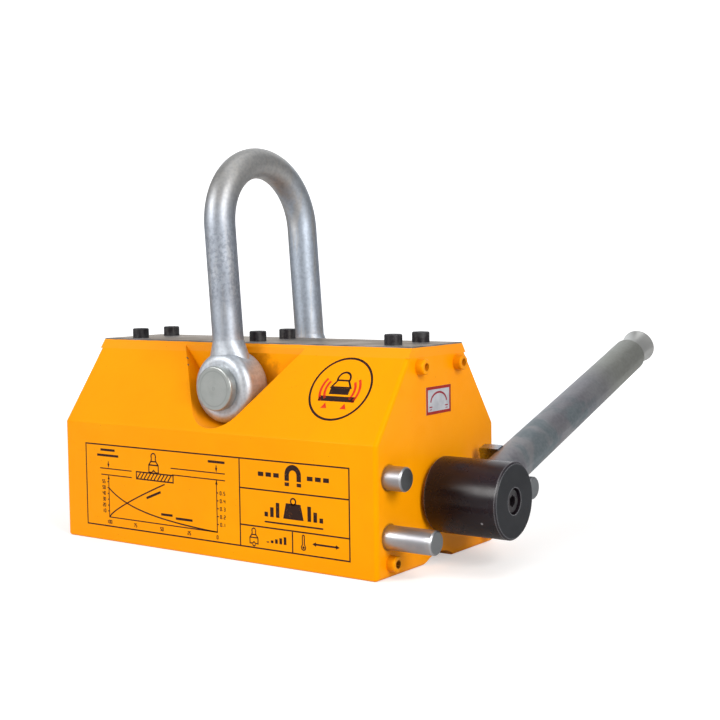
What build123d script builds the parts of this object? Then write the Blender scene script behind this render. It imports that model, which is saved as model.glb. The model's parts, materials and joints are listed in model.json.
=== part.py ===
from build123d import *
import math
import os

# A hand-operated permanent lifting magnet. Millimetres, +Z up.
# The origin is the middle of the lifting face, +X points to the handle end and -Y to the labelled front.

# Housing section: upright lower flanks, sloping shoulders, flat top
BODY_LENGTH = 232.0
BODY_WIDTH = 122.0
BODY_HEIGHT = 120.0
TOP_WIDTH = 51.0
SHOULDER_HEIGHT = 71.0
EDGE_RADIUS = 1.2
END_EDGE_RADIUS = 2.5
TOP_PLATE_THICKNESS = 6.0
END_PLATE_THICKNESS = 8.0

# Shallow groove along the lifting face that seats round bars
GROOVE_WIDTH = 32.0
GROOVE_DEPTH = 5.2

# Magnet circuit
POLE_GAP = 16.0
MAGNET_CLEARANCE = 0.1
STATOR_BOTTOM = 68.5
STATOR_TOP = 112.0
SPACER_LENGTH = 23.6
STATOR_MAGNETS_PER_SIDE = 2
MAGNET_JOINT = 0.4
ROTOR_RADIUS = 28.0
ROTOR_AIR_GAP = 0.5
ROTOR_MAGNET_COUNT = 4
MAGNET_INSET = 0.5
ROTOR_CAP_THICKNESS = 7.0
ROTOR_CAP_INSET = 0.2
HEAD_CLEARANCE = 0.2
ROTOR_END_PLAY = 0.5
ROTOR_TILT = 10.0

# Rotor shaft and bearings
AXLE_HEIGHT = 37.5
JOURNAL_RADIUS = 12.0
BUSH_RADIUS = 15.0
BUSH_FLANGE_RADIUS = 18.0
BUSH_FLANGE_THICKNESS = 1.4
TAIL_COVER = 1.5
TAIL_JOURNAL_GAP = 0.5
RUNNING_CLEARANCE = 0.05
FIT_CLEARANCE = 0.02
SHAFT_RADIUS = 10.0
SHAFT_END_X = 147.5
KEY_SIZE = 6.0
KEY_LENGTH = 22.0
KEY_INSET = 4.0
KEYWAY_SPARE = 0.2

# Hub
HUB_RADIUS = 21.0
HUB_START_X = 118.2
HUB_END_X = 163.0
HUB_CHAMFER = 1.0
COUNTERBORE_RADIUS = 7.25
COUNTERBORE_DEPTH = 11.0
HUB_WASHER_THICKNESS = 1.6
HUB_SCREW_ENGAGEMENT = 18.0
HUB_BORE_SPARE = 0.3
SCREW_HOLE_CLEARANCE = 0.4

# Handle
HANDLE_X = 139.4
HANDLE_REST_ELEVATION = 17.5
HANDLE_ON_ELEVATION = 2.5
HANDLE_REACH = 234.0
ROD_RADIUS = 8.0
ROD_START = 21.5
ROD_END = 196.0
SPIGOT_RADIUS = 7.0
SPIGOT_START = 11.5
SLEEVE_RADIUS = 11.0
SLEEVE_START = 24.0
SLEEVE_END = 216.5
SLEEVE_END_RADIUS = 2.6
SLEEVE_CHAMFER = 0.8
SLEEVE_TRAVEL = 8.0
KNOB_SPIGOT_LENGTH = 12.0
KNOB_NECK_RADIUS = 8.6
KNOB_RIM_RADIUS = 11.0
KNOB_RIM_HEIGHT = 0.8
KNOB_DOME_HEIGHT = 2.6
DRAG_RING_POSITION = 165.0
DRAG_RING_SECTION = 1.3
DRAG_RING_SPARE = 0.2
DRAG_RING_PROUD = 0.03
GUIDE_SCREW_POSITION = 90.0
GUIDE_SCREW_RADIUS = 2.5
GUIDE_SCREW_INSET = 0.4
SLOT_CLEARANCE = 0.1
SLOT_FLOOR = 5.3

# Latch key on the sleeve
KEY_INNER = 38.4
KEY_OUTER = 44.2
KEY_PLATE_GAP = 6.0
KEY_LEADING = 10.7
KEY_TRAILING = 6.5
KEY_INNER_X = 134.4
KEY_EDGE_RADIUS = 1.2
KNOB_SEAT_GAP = 0.1

# Stop pins and catch pin, all on one circle about the axle
PIN_RADIUS = 6.5
PIN_CIRCLE_RADIUS = 52.3
PIN_CONTACT_GAP = 0.15
FRONT_PIN_END_X = 145.3
REAR_PIN_END_X = 147.6
CATCH_PIN_END_X = 127.4
CATCH_PIN_ELEVATION = 17.5
PIN_DEPTH = 15.0
PIN_CHAMFER = 0.8

# Lifting shackle
SHACKLE_PIN_HEIGHT = 95.0
SHACKLE_PIN_RADIUS = 8.0
SHACKLE_PIN_HEAD_RADIUS = 12.8
SHACKLE_PIN_HEAD_THICKNESS = 5.0
SHACKLE_PIN_HEAD_GAP = 0.3
SHACKLE_PIN_HEAD_EDGE = 1.0
SHACKLE_PIN_TAIL_RECESS = 1.0
SHACKLE_ROD_RADIUS = 9.0
SHACKLE_HALF_SPACING = 38.5
SHACKLE_BOW_HEIGHT = 225.7
SHACKLE_LEAN = 4.0
EYE_RADIUS = 20.5
EYE_INNER_Y = 28.0
EYE_OUTER_Y = 49.0
EYE_EDGE_RADIUS = 5.0
EYE_CLEARANCE = 0.08
LEG_OVERLAP = 3.0
ROOT_BELOW = 8.0
ROOT_ABOVE = 9.0
ROOT_LENGTH_RADIUS = 16.0
ROOT_WIDTH_RADIUS = 9.6

# Recess around each shackle eye
RECESS_WALL_Y = 27.2
RECESS_RADIUS = 22.0
RECESS_FLANK_ANGLE = 38.0

# Screws: thread radius, head radius, head height, hexagon across corners over two
M6 = (3.0, 5.0, 6.0, 2.9)
M5 = (2.5, 4.25, 5.0, 2.3)
M8 = (4.0, 6.5, 8.0, 3.45)
SCREW_CHAMFER = 0.5
SOCKET_FLOOR = 0.45
TAP_SPARE = 1.0
CAP_SCREW_HEAD_HEIGHT = 4.5
TOP_SCREW_X = 96.0
TOP_SCREW_Y = 14.0
TOP_SCREW_LENGTH = 14.0
END_SCREW_PLACES = ((-19.5, 109.0), (19.5, 109.0), (-49.0, 8.0), (49.0, 8.0))
END_SCREW_LENGTH = 16.0
ROTOR_SCREW_PLACES = ((-17.0, -10.0), (-17.0, 10.0), (17.0, -10.0), (17.0, 10.0))
ROTOR_SCREW_LENGTH = 14.0

# Labels
LABEL_THICKNESS = 0.2
PANEL_X = (-98.5, 99.0)
PANEL_Z = (8.7, 58.7)
ROUND_LABEL_X = 80.0
ROUND_LABEL_Z = 97.5
ROUND_LABEL_RADIUS = 20.0
END_LABEL_WIDTH = 25.5
END_LABEL_Z = (82.0, 97.2)

# How far a cutting shape runs past the material it cuts
OVERCUT = 1.0

# Worked out from the sizes above
HALF_LENGTH = BODY_LENGTH / 2
HALF_WIDTH = BODY_WIDTH / 2
PLATE_INNER_X = HALF_LENGTH - END_PLATE_THICKNESS
TOP_PLATE_BOTTOM = BODY_HEIGHT - TOP_PLATE_THICKNESS
SHOULDER_RUN = (BODY_WIDTH - TOP_WIDTH) / 2
SHOULDER_RISE = BODY_HEIGHT - SHOULDER_HEIGHT
ROTOR_END_X = PLATE_INNER_X - ROTOR_END_PLAY
ROTOR_POLE_END_X = ROTOR_END_X - ROTOR_CAP_THICKNESS
HUB_SEAT_X = HUB_END_X - COUNTERBORE_DEPTH
STOP_ANGLE = math.degrees(math.asin((SLEEVE_RADIUS + PIN_RADIUS + PIN_CONTACT_GAP) / PIN_CIRCLE_RADIUS))
HANDLE_TRAVEL = 180.0 - HANDLE_REST_ELEVATION - HANDLE_ON_ELEVATION


# Helpers

def box(x, y, z):
    """A block between two limits on each axis."""
    middle = Pos((x[0] + x[1]) / 2, (y[0] + y[1]) / 2, (z[0] + z[1]) / 2)
    return middle * Box(x[1] - x[0], y[1] - y[0], z[1] - z[0])


def rod_x(radius, start, end, y=0.0, z=0.0):
    """A cylinder along X."""
    return Pos((start + end) / 2, y, z) * Rot(0, 90, 0) * Cylinder(radius, end - start)


def rod_y(radius, start, end, x=0.0, z=0.0):
    """A cylinder along Y."""
    return Pos(x, (start + end) / 2, z) * Rot(90, 0, 0) * Cylinder(radius, end - start)


def rod_z(radius, start, end, x=0.0, y=0.0):
    """A cylinder along Z."""
    return Pos(x, y, (start + end) / 2) * Cylinder(radius, end - start)


def hexagon(corner_radius, start, end):
    """A hexagonal prism along Z."""
    return Pos(0, 0, start) * extrude(RegularPolygon(corner_radius, 6), amount=end - start)


def socket_screw(size, length, head_height=None):
    """A socket-head screw standing on Z = 0 with its shank below."""
    thread, head, height, corner = size
    height = head_height or height
    cap = rod_z(head, 0, height)
    cap = chamfer(cap.edges().group_by(Axis.Z)[-1], SCREW_CHAMFER)
    screw = cap + rod_z(thread, -length, 0)
    return screw - hexagon(corner, height * SOCKET_FLOOR, height + OVERCUT)


def on_circle(elevation, side):
    """The Y and Z of a point on the pin circle; side is -1 at the front and 1 at the rear."""
    angle = math.radians(elevation)
    y = side * PIN_CIRCLE_RADIUS * math.cos(angle)
    z = AXLE_HEIGHT + PIN_CIRCLE_RADIUS * math.sin(angle)
    return y, z


def about_axle(shape, degrees):
    """Turn a shape about the rotor axis."""
    return Pos(0, 0, AXLE_HEIGHT) * Rot(degrees, 0, 0) * Pos(0, 0, -AXLE_HEIGHT) * shape


REAR_STOP = on_circle(HANDLE_REST_ELEVATION - STOP_ANGLE, 1)
FRONT_STOP = on_circle(HANDLE_ON_ELEVATION - STOP_ANGLE, -1)
CATCH = on_circle(CATCH_PIN_ELEVATION, -1)
HANDLE_PLANE = Plane(
    origin=(HANDLE_X, 0, AXLE_HEIGHT),
    x_dir=(1, 0, 0),
    z_dir=(0, math.cos(math.radians(HANDLE_REST_ELEVATION)), math.sin(math.radians(HANDLE_REST_ELEVATION))),
)


# Housing

def section():
    """The housing's outline across the rotor axis, with the bar groove."""
    corners = [
        (-HALF_WIDTH, 0),
        (HALF_WIDTH, 0),
        (HALF_WIDTH, SHOULDER_HEIGHT),
        (TOP_WIDTH / 2, BODY_HEIGHT),
        (-TOP_WIDTH / 2, BODY_HEIGHT),
        (-HALF_WIDTH, SHOULDER_HEIGHT),
    ]
    outline = Polygon(*corners, align=None)
    outline = fillet(outline.vertices(), EDGE_RADIUS)
    half = GROOVE_WIDTH / 2
    groove_radius = (half**2 + GROOVE_DEPTH**2) / (2 * GROOVE_DEPTH)
    return outline - Pos(0, GROOVE_DEPTH - groove_radius) * Circle(groove_radius)


def section_slab(start, end):
    """The whole housing section between two places along X."""
    return extrude(Plane.YZ.offset(start) * section(), amount=end - start)


def recess(side):
    """The pocket for one shackle eye: a round floor with two flanks that lean outwards."""
    angle = math.radians(RECESS_FLANK_ANGLE)
    tangent_x = RECESS_RADIUS * math.cos(angle)
    tangent_z = SHACKLE_PIN_HEIGHT - RECESS_RADIUS * math.sin(angle)
    top_z = BODY_HEIGHT + OVERCUT
    top_x = tangent_x + (top_z - tangent_z) * math.tan(angle)
    floor = SHACKLE_PIN_HEIGHT - RECESS_RADIUS
    right = Line((tangent_x, tangent_z), (top_x, top_z))
    top = Line((top_x, top_z), (-top_x, top_z))
    left = Line((-top_x, top_z), (-tangent_x, tangent_z))
    bottom = ThreePointArc((-tangent_x, tangent_z), (0, floor), (tangent_x, tangent_z))
    profile = make_face(right + top + left + bottom)
    depth = HALF_WIDTH + OVERCUT - RECESS_WALL_Y
    front = RECESS_WALL_Y + depth if side > 0 else -RECESS_WALL_Y
    return Pos(0, front, 0) * extrude(Plane.XZ * profile, amount=depth)


def top_screw_places():
    return [(x, y) for x in (-TOP_SCREW_X, 0, TOP_SCREW_X) for y in (-TOP_SCREW_Y, TOP_SCREW_Y)]


def stop_pin_places():
    return [FRONT_STOP, REAR_STOP, CATCH]


def screw_holes_in_ends(radius, start, end):
    """Holes along X for the end-plate screws."""
    return [rod_x(radius, start, end, y, z) for y, z in END_SCREW_PLACES]


def pole_block(side):
    """One of the two steel halves that carry the flux down to the load."""
    inner = POLE_GAP / 2
    y_range = (inner, HALF_WIDTH + OVERCUT) if side > 0 else (-HALF_WIDTH - OVERCUT, -inner)
    body = section_slab(-PLATE_INNER_X, PLATE_INNER_X)
    body = body & box((-HALF_LENGTH, HALF_LENGTH), y_range, (-OVERCUT, TOP_PLATE_BOTTOM))
    body -= rod_x(ROTOR_RADIUS + ROTOR_AIR_GAP, -HALF_LENGTH, HALF_LENGTH, 0, AXLE_HEIGHT)
    body -= recess(side)
    body -= rod_y(SHACKLE_PIN_RADIUS + FIT_CLEARANCE, -HALF_WIDTH, HALF_WIDTH, 0, SHACKLE_PIN_HEIGHT)
    top_tap_end = BODY_HEIGHT - TOP_SCREW_LENGTH - TAP_SPARE
    for x, y in top_screw_places():
        if y * side > 0:
            body -= rod_z(M6[0] + FIT_CLEARANCE, top_tap_end, BODY_HEIGHT, x, y)
    tap_end = HALF_LENGTH - END_SCREW_LENGTH - TAP_SPARE
    for hole in screw_holes_in_ends(M5[0] + FIT_CLEARANCE, tap_end, HALF_LENGTH):
        body -= hole
    for hole in screw_holes_in_ends(M5[0] + FIT_CLEARANCE, -HALF_LENGTH, -tap_end):
        body -= hole
    for y, z in stop_pin_places():
        body -= rod_x(PIN_RADIUS + FIT_CLEARANCE, HALF_LENGTH - PIN_DEPTH, HALF_LENGTH, y, z)
    return body


def pole_separator():
    """Non-magnetic strip that closes the gap between the pole blocks under the rotor."""
    inner = POLE_GAP / 2
    strip = section_slab(-PLATE_INNER_X, PLATE_INNER_X)
    strip = strip & box((-HALF_LENGTH, HALF_LENGTH), (-inner, inner), (-OVERCUT, AXLE_HEIGHT - inner))
    return strip - rod_x(ROTOR_RADIUS + ROTOR_AIR_GAP, -HALF_LENGTH, HALF_LENGTH, 0, AXLE_HEIGHT)


def stator_magnets():
    """Fixed magnets between the pole blocks, two each side of the shackle pin."""
    half = POLE_GAP / 2 - MAGNET_CLEARANCE
    first = SPACER_LENGTH / 2 + MAGNET_JOINT / 2
    pitch = (PLATE_INNER_X - first) / STATOR_MAGNETS_PER_SIDE
    blocks = []
    for index in range(STATOR_MAGNETS_PER_SIDE):
        start = first + index * pitch
        end = start + pitch - MAGNET_JOINT
        blocks.append(box((start, end), (-half, half), (STATOR_BOTTOM, STATOR_TOP)))
        blocks.append(box((-end, -start), (-half, half), (STATOR_BOTTOM, STATOR_TOP)))
    return Compound(blocks)


def stator_spacer():
    """Non-magnetic block between the fixed magnets, bored for the shackle pin."""
    half = POLE_GAP / 2 - MAGNET_CLEARANCE
    length = SPACER_LENGTH / 2
    block = box((-length, length), (-half, half), (STATOR_BOTTOM, STATOR_TOP))
    bore_radius = SHACKLE_PIN_RADIUS + FIT_CLEARANCE
    return block - rod_y(bore_radius, -half - OVERCUT, half + OVERCUT, 0, SHACKLE_PIN_HEIGHT)


def top_plate():
    """Bare steel cover over the magnets."""
    plate = section_slab(-HALF_LENGTH, HALF_LENGTH)
    z_range = (TOP_PLATE_BOTTOM, BODY_HEIGHT)
    plate = plate & box((-HALF_LENGTH, HALF_LENGTH), (-HALF_WIDTH, HALF_WIDTH), z_range)
    for x, y in top_screw_places():
        plate -= rod_z(M6[0] + FIT_CLEARANCE, TOP_PLATE_BOTTOM - OVERCUT, BODY_HEIGHT + OVERCUT, x, y)
    return plate - recess(1) - recess(-1)


def top_plate_screws():
    screw = socket_screw(M6, TOP_SCREW_LENGTH)
    return Compound([Pos(x, y, BODY_HEIGHT) * screw for x, y in top_screw_places()])


def blank_end_plate():
    """The outline shared by both end plates, at the handle end, with its outer rim rounded."""
    plate = section_slab(PLATE_INNER_X, HALF_LENGTH)
    plate = plate & box((PLATE_INNER_X, HALF_LENGTH), (-HALF_WIDTH, HALF_WIDTH), (0, TOP_PLATE_BOTTOM))
    rim = plate.edges().group_by(Axis.X)[-1]
    rim = [edge for edge in rim if edge.center().Z < TOP_PLATE_BOTTOM - 0.1 and edge.center().Z > 0.1]
    rim = [edge for edge in rim if abs(edge.center().Y) > GROOVE_WIDTH / 2]
    plate = fillet(rim, END_EDGE_RADIUS)
    start = PLATE_INNER_X - OVERCUT
    for hole in screw_holes_in_ends(M5[0] + FIT_CLEARANCE, start, HALF_LENGTH + OVERCUT):
        plate -= hole
    return plate


def handle_end_plate():
    """End plate with the drive bush and the three pins."""
    plate = blank_end_plate()
    start = PLATE_INNER_X - OVERCUT
    end = HALF_LENGTH + OVERCUT
    plate -= rod_x(BUSH_RADIUS + FIT_CLEARANCE, start, end, 0, AXLE_HEIGHT)
    for y, z in stop_pin_places():
        plate -= rod_x(PIN_RADIUS + FIT_CLEARANCE, start, end, y, z)
    return plate


def far_end_plate():
    """End plate with a blind seat for the tail bush."""
    seat_end = HALF_LENGTH - TAIL_COVER
    seat = rod_x(BUSH_RADIUS + FIT_CLEARANCE, PLATE_INNER_X - OVERCUT, seat_end, 0, AXLE_HEIGHT)
    return mirror(blank_end_plate() - seat, Plane.YZ)


def end_plate_screws(side):
    screw = Rot(0, 90 * side, 0) * socket_screw(M5, END_SCREW_LENGTH)
    return Compound([Pos(side * HALF_LENGTH, y, z) * screw for y, z in END_SCREW_PLACES])


def drive_bush():
    """Flanged bronze bush in the handle end plate."""
    bush = rod_x(BUSH_RADIUS, PLATE_INNER_X, HALF_LENGTH, 0, AXLE_HEIGHT)
    flange_end = HALF_LENGTH + BUSH_FLANGE_THICKNESS
    bush += rod_x(BUSH_FLANGE_RADIUS, HALF_LENGTH, flange_end, 0, AXLE_HEIGHT)
    start = PLATE_INNER_X - OVERCUT
    return bush - rod_x(JOURNAL_RADIUS + RUNNING_CLEARANCE, start, flange_end + OVERCUT, 0, AXLE_HEIGHT)


def tail_bush():
    """Plain bronze bush in the far end plate."""
    start = -HALF_LENGTH + TAIL_COVER
    end = -PLATE_INNER_X
    bush = rod_x(BUSH_RADIUS, start, end, 0, AXLE_HEIGHT)
    return bush - rod_x(JOURNAL_RADIUS + RUNNING_CLEARANCE, start - OVERCUT, end + OVERCUT, 0, AXLE_HEIGHT)


def pressed_pin(place, end_x):
    """A hardened pin pressed through the end plate into the pole block."""
    y, z = place
    pin = rod_x(PIN_RADIUS, HALF_LENGTH - PIN_DEPTH, end_x, y, z)
    return chamfer(pin.edges().group_by(Axis.X)[-1], PIN_CHAMFER)


# Lifting shackle

def lean(shape):
    """Lean a shape about the shackle pin to its resting angle."""
    return Pos(0, 0, SHACKLE_PIN_HEIGHT) * Rot(0, -SHACKLE_LEAN, 0) * Pos(0, 0, -SHACKLE_PIN_HEIGHT) * shape


def shackle():
    """Forged bow: two round legs joined by a half circle, with an eye at each foot."""
    bow_start = SHACKLE_BOW_HEIGHT - SHACKLE_HALF_SPACING
    foot = SHACKLE_PIN_HEIGHT + EYE_RADIUS - LEG_OVERLAP
    rear = Line((0, SHACKLE_HALF_SPACING, foot), (0, SHACKLE_HALF_SPACING, bow_start))
    arc = ThreePointArc(rear @ 1, (0, 0, SHACKLE_BOW_HEIGHT), (0, -SHACKLE_HALF_SPACING, bow_start))
    front = Line(arc @ 1, (0, -SHACKLE_HALF_SPACING, foot))
    path = Wire([rear, arc, front])
    bow = sweep(Plane(origin=path @ 0, z_dir=path % 0) * Circle(SHACKLE_ROD_RADIUS), path=path)
    for side in (-1, 1):
        limits = sorted((side * EYE_INNER_Y, side * EYE_OUTER_Y))
        eye = rod_y(EYE_RADIUS, limits[0], limits[1], 0, SHACKLE_PIN_HEIGHT)
        eye = fillet(eye.edges(), EYE_EDGE_RADIUS)
        y = side * SHACKLE_HALF_SPACING
        wide = Pos(0, y, foot - ROOT_BELOW) * Ellipse(ROOT_LENGTH_RADIUS, ROOT_WIDTH_RADIUS)
        narrow = Pos(0, y, foot + ROOT_ABOVE) * Circle(SHACKLE_ROD_RADIUS)
        root = loft([wide, narrow])
        bow = bow + root + eye
    bow -= rod_y(SHACKLE_PIN_RADIUS + EYE_CLEARANCE, -HALF_WIDTH, HALF_WIDTH, 0, SHACKLE_PIN_HEIGHT)
    return lean(bow)


def shackle_pin():
    """Through pin with a flat head at the front."""
    shoulder = EYE_OUTER_Y + SHACKLE_PIN_HEAD_GAP
    face = shoulder + SHACKLE_PIN_HEAD_THICKNESS
    head = rod_y(SHACKLE_PIN_HEAD_RADIUS, -face, -shoulder, 0, SHACKLE_PIN_HEIGHT)
    head = fillet(head.edges().group_by(Axis.Y)[0], SHACKLE_PIN_HEAD_EDGE)
    return head + rod_y(SHACKLE_PIN_RADIUS, -shoulder, face - SHACKLE_PIN_TAIL_RECESS, 0, SHACKLE_PIN_HEIGHT)


def shackle_pin_collar():
    """Collar riveted on the pin's rear end."""
    start = EYE_OUTER_Y + SHACKLE_PIN_HEAD_GAP
    end = start + SHACKLE_PIN_HEAD_THICKNESS
    collar = rod_y(SHACKLE_PIN_HEAD_RADIUS, start, end, 0, SHACKLE_PIN_HEIGHT)
    collar = fillet(collar.edges().group_by(Axis.Y)[-1], SHACKLE_PIN_HEAD_EDGE)
    bore_radius = SHACKLE_PIN_RADIUS + FIT_CLEARANCE
    return collar - rod_y(bore_radius, start - OVERCUT, end + OVERCUT, 0, SHACKLE_PIN_HEIGHT)


# Rotor

def rotor_pole(side):
    """One steel segment of the rotor."""
    segment = rod_x(ROTOR_RADIUS, -ROTOR_POLE_END_X, ROTOR_POLE_END_X, 0, AXLE_HEIGHT)
    inner = POLE_GAP / 2
    y_range = (inner, ROTOR_RADIUS) if side > 0 else (-ROTOR_RADIUS, -inner)
    segment = segment & box((-HALF_LENGTH, HALF_LENGTH), y_range, (0, BODY_HEIGHT))
    for y, z in ROTOR_SCREW_PLACES:
        if y * side < 0:
            continue
        for end in (-1, 1):
            inner_x = end * (ROTOR_END_X - CAP_SCREW_HEAD_HEIGHT - ROTOR_SCREW_LENGTH - TAP_SPARE)
            limits = sorted((inner_x, end * HALF_LENGTH))
            segment -= rod_x(M5[0] + FIT_CLEARANCE, limits[0], limits[1], y, AXLE_HEIGHT + z)
    return about_axle(segment, ROTOR_TILT)


def rotor_magnets():
    """Magnet blocks sandwiched between the two rotor segments."""
    half = POLE_GAP / 2 - MAGNET_CLEARANCE
    height = math.sqrt(ROTOR_RADIUS**2 - (POLE_GAP / 2) ** 2) - MAGNET_INSET
    pitch = 2 * ROTOR_POLE_END_X / ROTOR_MAGNET_COUNT
    blocks = []
    for index in range(ROTOR_MAGNET_COUNT):
        start = -ROTOR_POLE_END_X + index * pitch + MAGNET_JOINT / 2
        limits = (start, start + pitch - MAGNET_JOINT)
        block = box(limits, (-half, half), (AXLE_HEIGHT - height, AXLE_HEIGHT + height))
        blocks.append(about_axle(block, ROTOR_TILT))
    return Compound(blocks)


def rotor_cap():
    """Non-magnetic disc at the handle end of the rotor, counterbored for its screws."""
    cap = rod_x(ROTOR_RADIUS - ROTOR_CAP_INSET, ROTOR_POLE_END_X, ROTOR_END_X, 0, AXLE_HEIGHT)
    seat = ROTOR_END_X - CAP_SCREW_HEAD_HEIGHT
    for y, z in ROTOR_SCREW_PLACES:
        cap -= rod_x(M5[1] + HEAD_CLEARANCE, seat, ROTOR_END_X + OVERCUT, y, AXLE_HEIGHT + z)
        cap -= rod_x(M5[0] + FIT_CLEARANCE, ROTOR_POLE_END_X - OVERCUT, ROTOR_END_X, y, AXLE_HEIGHT + z)
    return about_axle(cap, ROTOR_TILT)


def drive_shaft():
    """Rotor cap with the journal and the keyed shaft that carries the hub."""
    shaft = rotor_cap()
    shaft += rod_x(JOURNAL_RADIUS, ROTOR_END_X, HALF_LENGTH + BUSH_FLANGE_THICKNESS, 0, AXLE_HEIGHT)
    shaft += rod_x(SHAFT_RADIUS, HALF_LENGTH, SHAFT_END_X, 0, AXLE_HEIGHT)
    tap_end = SHAFT_END_X - HUB_SCREW_ENGAGEMENT - TAP_SPARE
    shaft -= rod_x(M8[0] + FIT_CLEARANCE, tap_end, SHAFT_END_X + OVERCUT, 0, AXLE_HEIGHT)
    return shaft - key_block(FIT_CLEARANCE)


def tail_shaft():
    """Rotor cap with the journal that turns in the far end plate."""
    journal_end = HALF_LENGTH - TAIL_COVER - TAIL_JOURNAL_GAP
    journal = rod_x(JOURNAL_RADIUS, ROTOR_END_X, journal_end, 0, AXLE_HEIGHT)
    cap = about_axle(rotor_cap(), -2 * ROTOR_TILT)
    return Rot(0, 0, 180) * (cap + journal)


def rotor_cap_screws():
    """Four screws through each rotor cap into the segments."""
    screw = Rot(0, 90, 0) * socket_screw(M5, ROTOR_SCREW_LENGTH, CAP_SCREW_HEAD_HEIGHT)
    seat = ROTOR_END_X - CAP_SCREW_HEAD_HEIGHT
    screws = []
    for y, z in ROTOR_SCREW_PLACES:
        near = Pos(seat, y, AXLE_HEIGHT + z) * screw
        screws.append(about_axle(near, ROTOR_TILT))
        screws.append(about_axle(mirror(near, Plane.YZ), ROTOR_TILT))
    return Compound(screws)


# Hub

def key_block(grow=0.0):
    """Parallel key on the side of the shaft away from the handle."""
    start = HUB_START_X + KEY_INSET
    base = SHAFT_RADIUS - KEY_SIZE / 2
    key = box(
        (start - grow, start + KEY_LENGTH + grow),
        (-base - KEY_SIZE - grow, -base),
        (AXLE_HEIGHT - KEY_SIZE / 2 - grow, AXLE_HEIGHT + KEY_SIZE / 2 + grow),
    )
    return about_axle(key, HANDLE_REST_ELEVATION)


def hub():
    """Hub that joins the handle to the shaft."""
    body = rod_x(HUB_RADIUS, HUB_START_X, HUB_END_X, 0, AXLE_HEIGHT)
    body = chamfer(body.edges().filter_by(GeomType.CIRCLE), HUB_CHAMFER)
    start = HUB_START_X - OVERCUT
    bore_end = SHAFT_END_X + HUB_BORE_SPARE
    body -= rod_x(SHAFT_RADIUS + FIT_CLEARANCE, start, bore_end, 0, AXLE_HEIGHT)
    body -= rod_x(M8[0] + SCREW_HOLE_CLEARANCE, SHAFT_END_X, HUB_END_X, 0, AXLE_HEIGHT)
    body -= rod_x(COUNTERBORE_RADIUS, HUB_SEAT_X, HUB_END_X + OVERCUT, 0, AXLE_HEIGHT)
    body -= HANDLE_PLANE.location * rod_z(SPIGOT_RADIUS + FIT_CLEARANCE, SHAFT_RADIUS, HUB_RADIUS + OVERCUT)
    base = SHAFT_RADIUS - KEY_SIZE / 2
    half_width = KEY_SIZE / 2 + FIT_CLEARANCE
    keyway = box(
        (start, HUB_START_X + KEY_INSET + KEY_LENGTH + KEYWAY_SPARE),
        (-base - KEY_SIZE - KEYWAY_SPARE, -base),
        (AXLE_HEIGHT - half_width, AXLE_HEIGHT + half_width),
    )
    return body - about_axle(keyway, HANDLE_REST_ELEVATION)


def hub_washer():
    end = HUB_SEAT_X + HUB_WASHER_THICKNESS
    washer = rod_x(M8[1] + SCREW_HOLE_CLEARANCE, HUB_SEAT_X, end, 0, AXLE_HEIGHT)
    return washer - rod_x(M8[0] + SCREW_HOLE_CLEARANCE, HUB_SEAT_X - OVERCUT, end + OVERCUT, 0, AXLE_HEIGHT)


def hub_screw():
    seat = HUB_SEAT_X + HUB_WASHER_THICKNESS
    length = seat - SHAFT_END_X + HUB_SCREW_ENGAGEMENT
    return Pos(seat, 0, AXLE_HEIGHT) * Rot(0, 90, 0) * socket_screw(M8, length)


# Handle: local Z runs outwards along the rod, local -Y is the side that leads when it turns forwards

def handle_rod():
    """Rod screwed into the hub, grooved for the drag ring and slotted for the guide screw."""
    spigot = rod_z(SPIGOT_RADIUS, SPIGOT_START, ROD_START)
    rod = spigot + rod_z(ROD_RADIUS, ROD_START, ROD_END)
    half_groove = DRAG_RING_SECTION + DRAG_RING_SPARE
    groove_start = DRAG_RING_POSITION - half_groove
    groove_end = DRAG_RING_POSITION + half_groove
    ring = rod_z(ROD_RADIUS + OVERCUT, groove_start, groove_end)
    core = rod_z(ROD_RADIUS - 2 * DRAG_RING_SECTION, groove_start - OVERCUT, groove_end + OVERCUT)
    rod -= ring - core
    half_width = GUIDE_SCREW_RADIUS + SLOT_CLEARANCE
    start = GUIDE_SCREW_POSITION - half_width
    end = GUIDE_SCREW_POSITION + SLEEVE_TRAVEL + half_width
    rod -= box((-half_width, half_width), (SLOT_FLOOR, ROD_RADIUS + OVERCUT), (start, end))
    return HANDLE_PLANE.location * rod


def drag_ring():
    """Rubber ring that keeps the sleeve where it is put."""
    ring = Torus(ROD_RADIUS + DRAG_RING_PROUD - DRAG_RING_SECTION, DRAG_RING_SECTION)
    return HANDLE_PLANE.location * Pos(0, 0, DRAG_RING_POSITION) * ring


def handle_sleeve():
    """Tube that slides on the rod and is the grip."""
    tube = rod_z(SLEEVE_RADIUS, SLEEVE_START, SLEEVE_END)
    tube = fillet(tube.edges().group_by(Axis.Z)[-1], SLEEVE_END_RADIUS)
    tube = chamfer(tube.edges().group_by(Axis.Z)[0], SLEEVE_CHAMFER)
    tube -= rod_z(ROD_RADIUS + RUNNING_CLEARANCE, SLEEVE_START - OVERCUT, SLEEVE_END + OVERCUT)
    hole_radius = GUIDE_SCREW_RADIUS + FIT_CLEARANCE
    tube -= rod_y(hole_radius, 0, SLEEVE_RADIUS + OVERCUT, 0, GUIDE_SCREW_POSITION)
    return HANDLE_PLANE.location * tube


def guide_screw():
    """Grub screw in the sleeve that runs in the rod's slot, so the sleeve can't turn or come off."""
    outer = SLEEVE_RADIUS - GUIDE_SCREW_INSET
    inner = SLOT_FLOOR + GUIDE_SCREW_INSET
    screw = rod_y(GUIDE_SCREW_RADIUS, inner, outer, 0, GUIDE_SCREW_POSITION)
    socket = Rot(90, 0, 0) * hexagon(GUIDE_SCREW_RADIUS / 2, -outer - OVERCUT, -outer + GUIDE_SCREW_RADIUS)
    return HANDLE_PLANE.location * (screw - Pos(0, 0, GUIDE_SCREW_POSITION) * socket)


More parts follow.
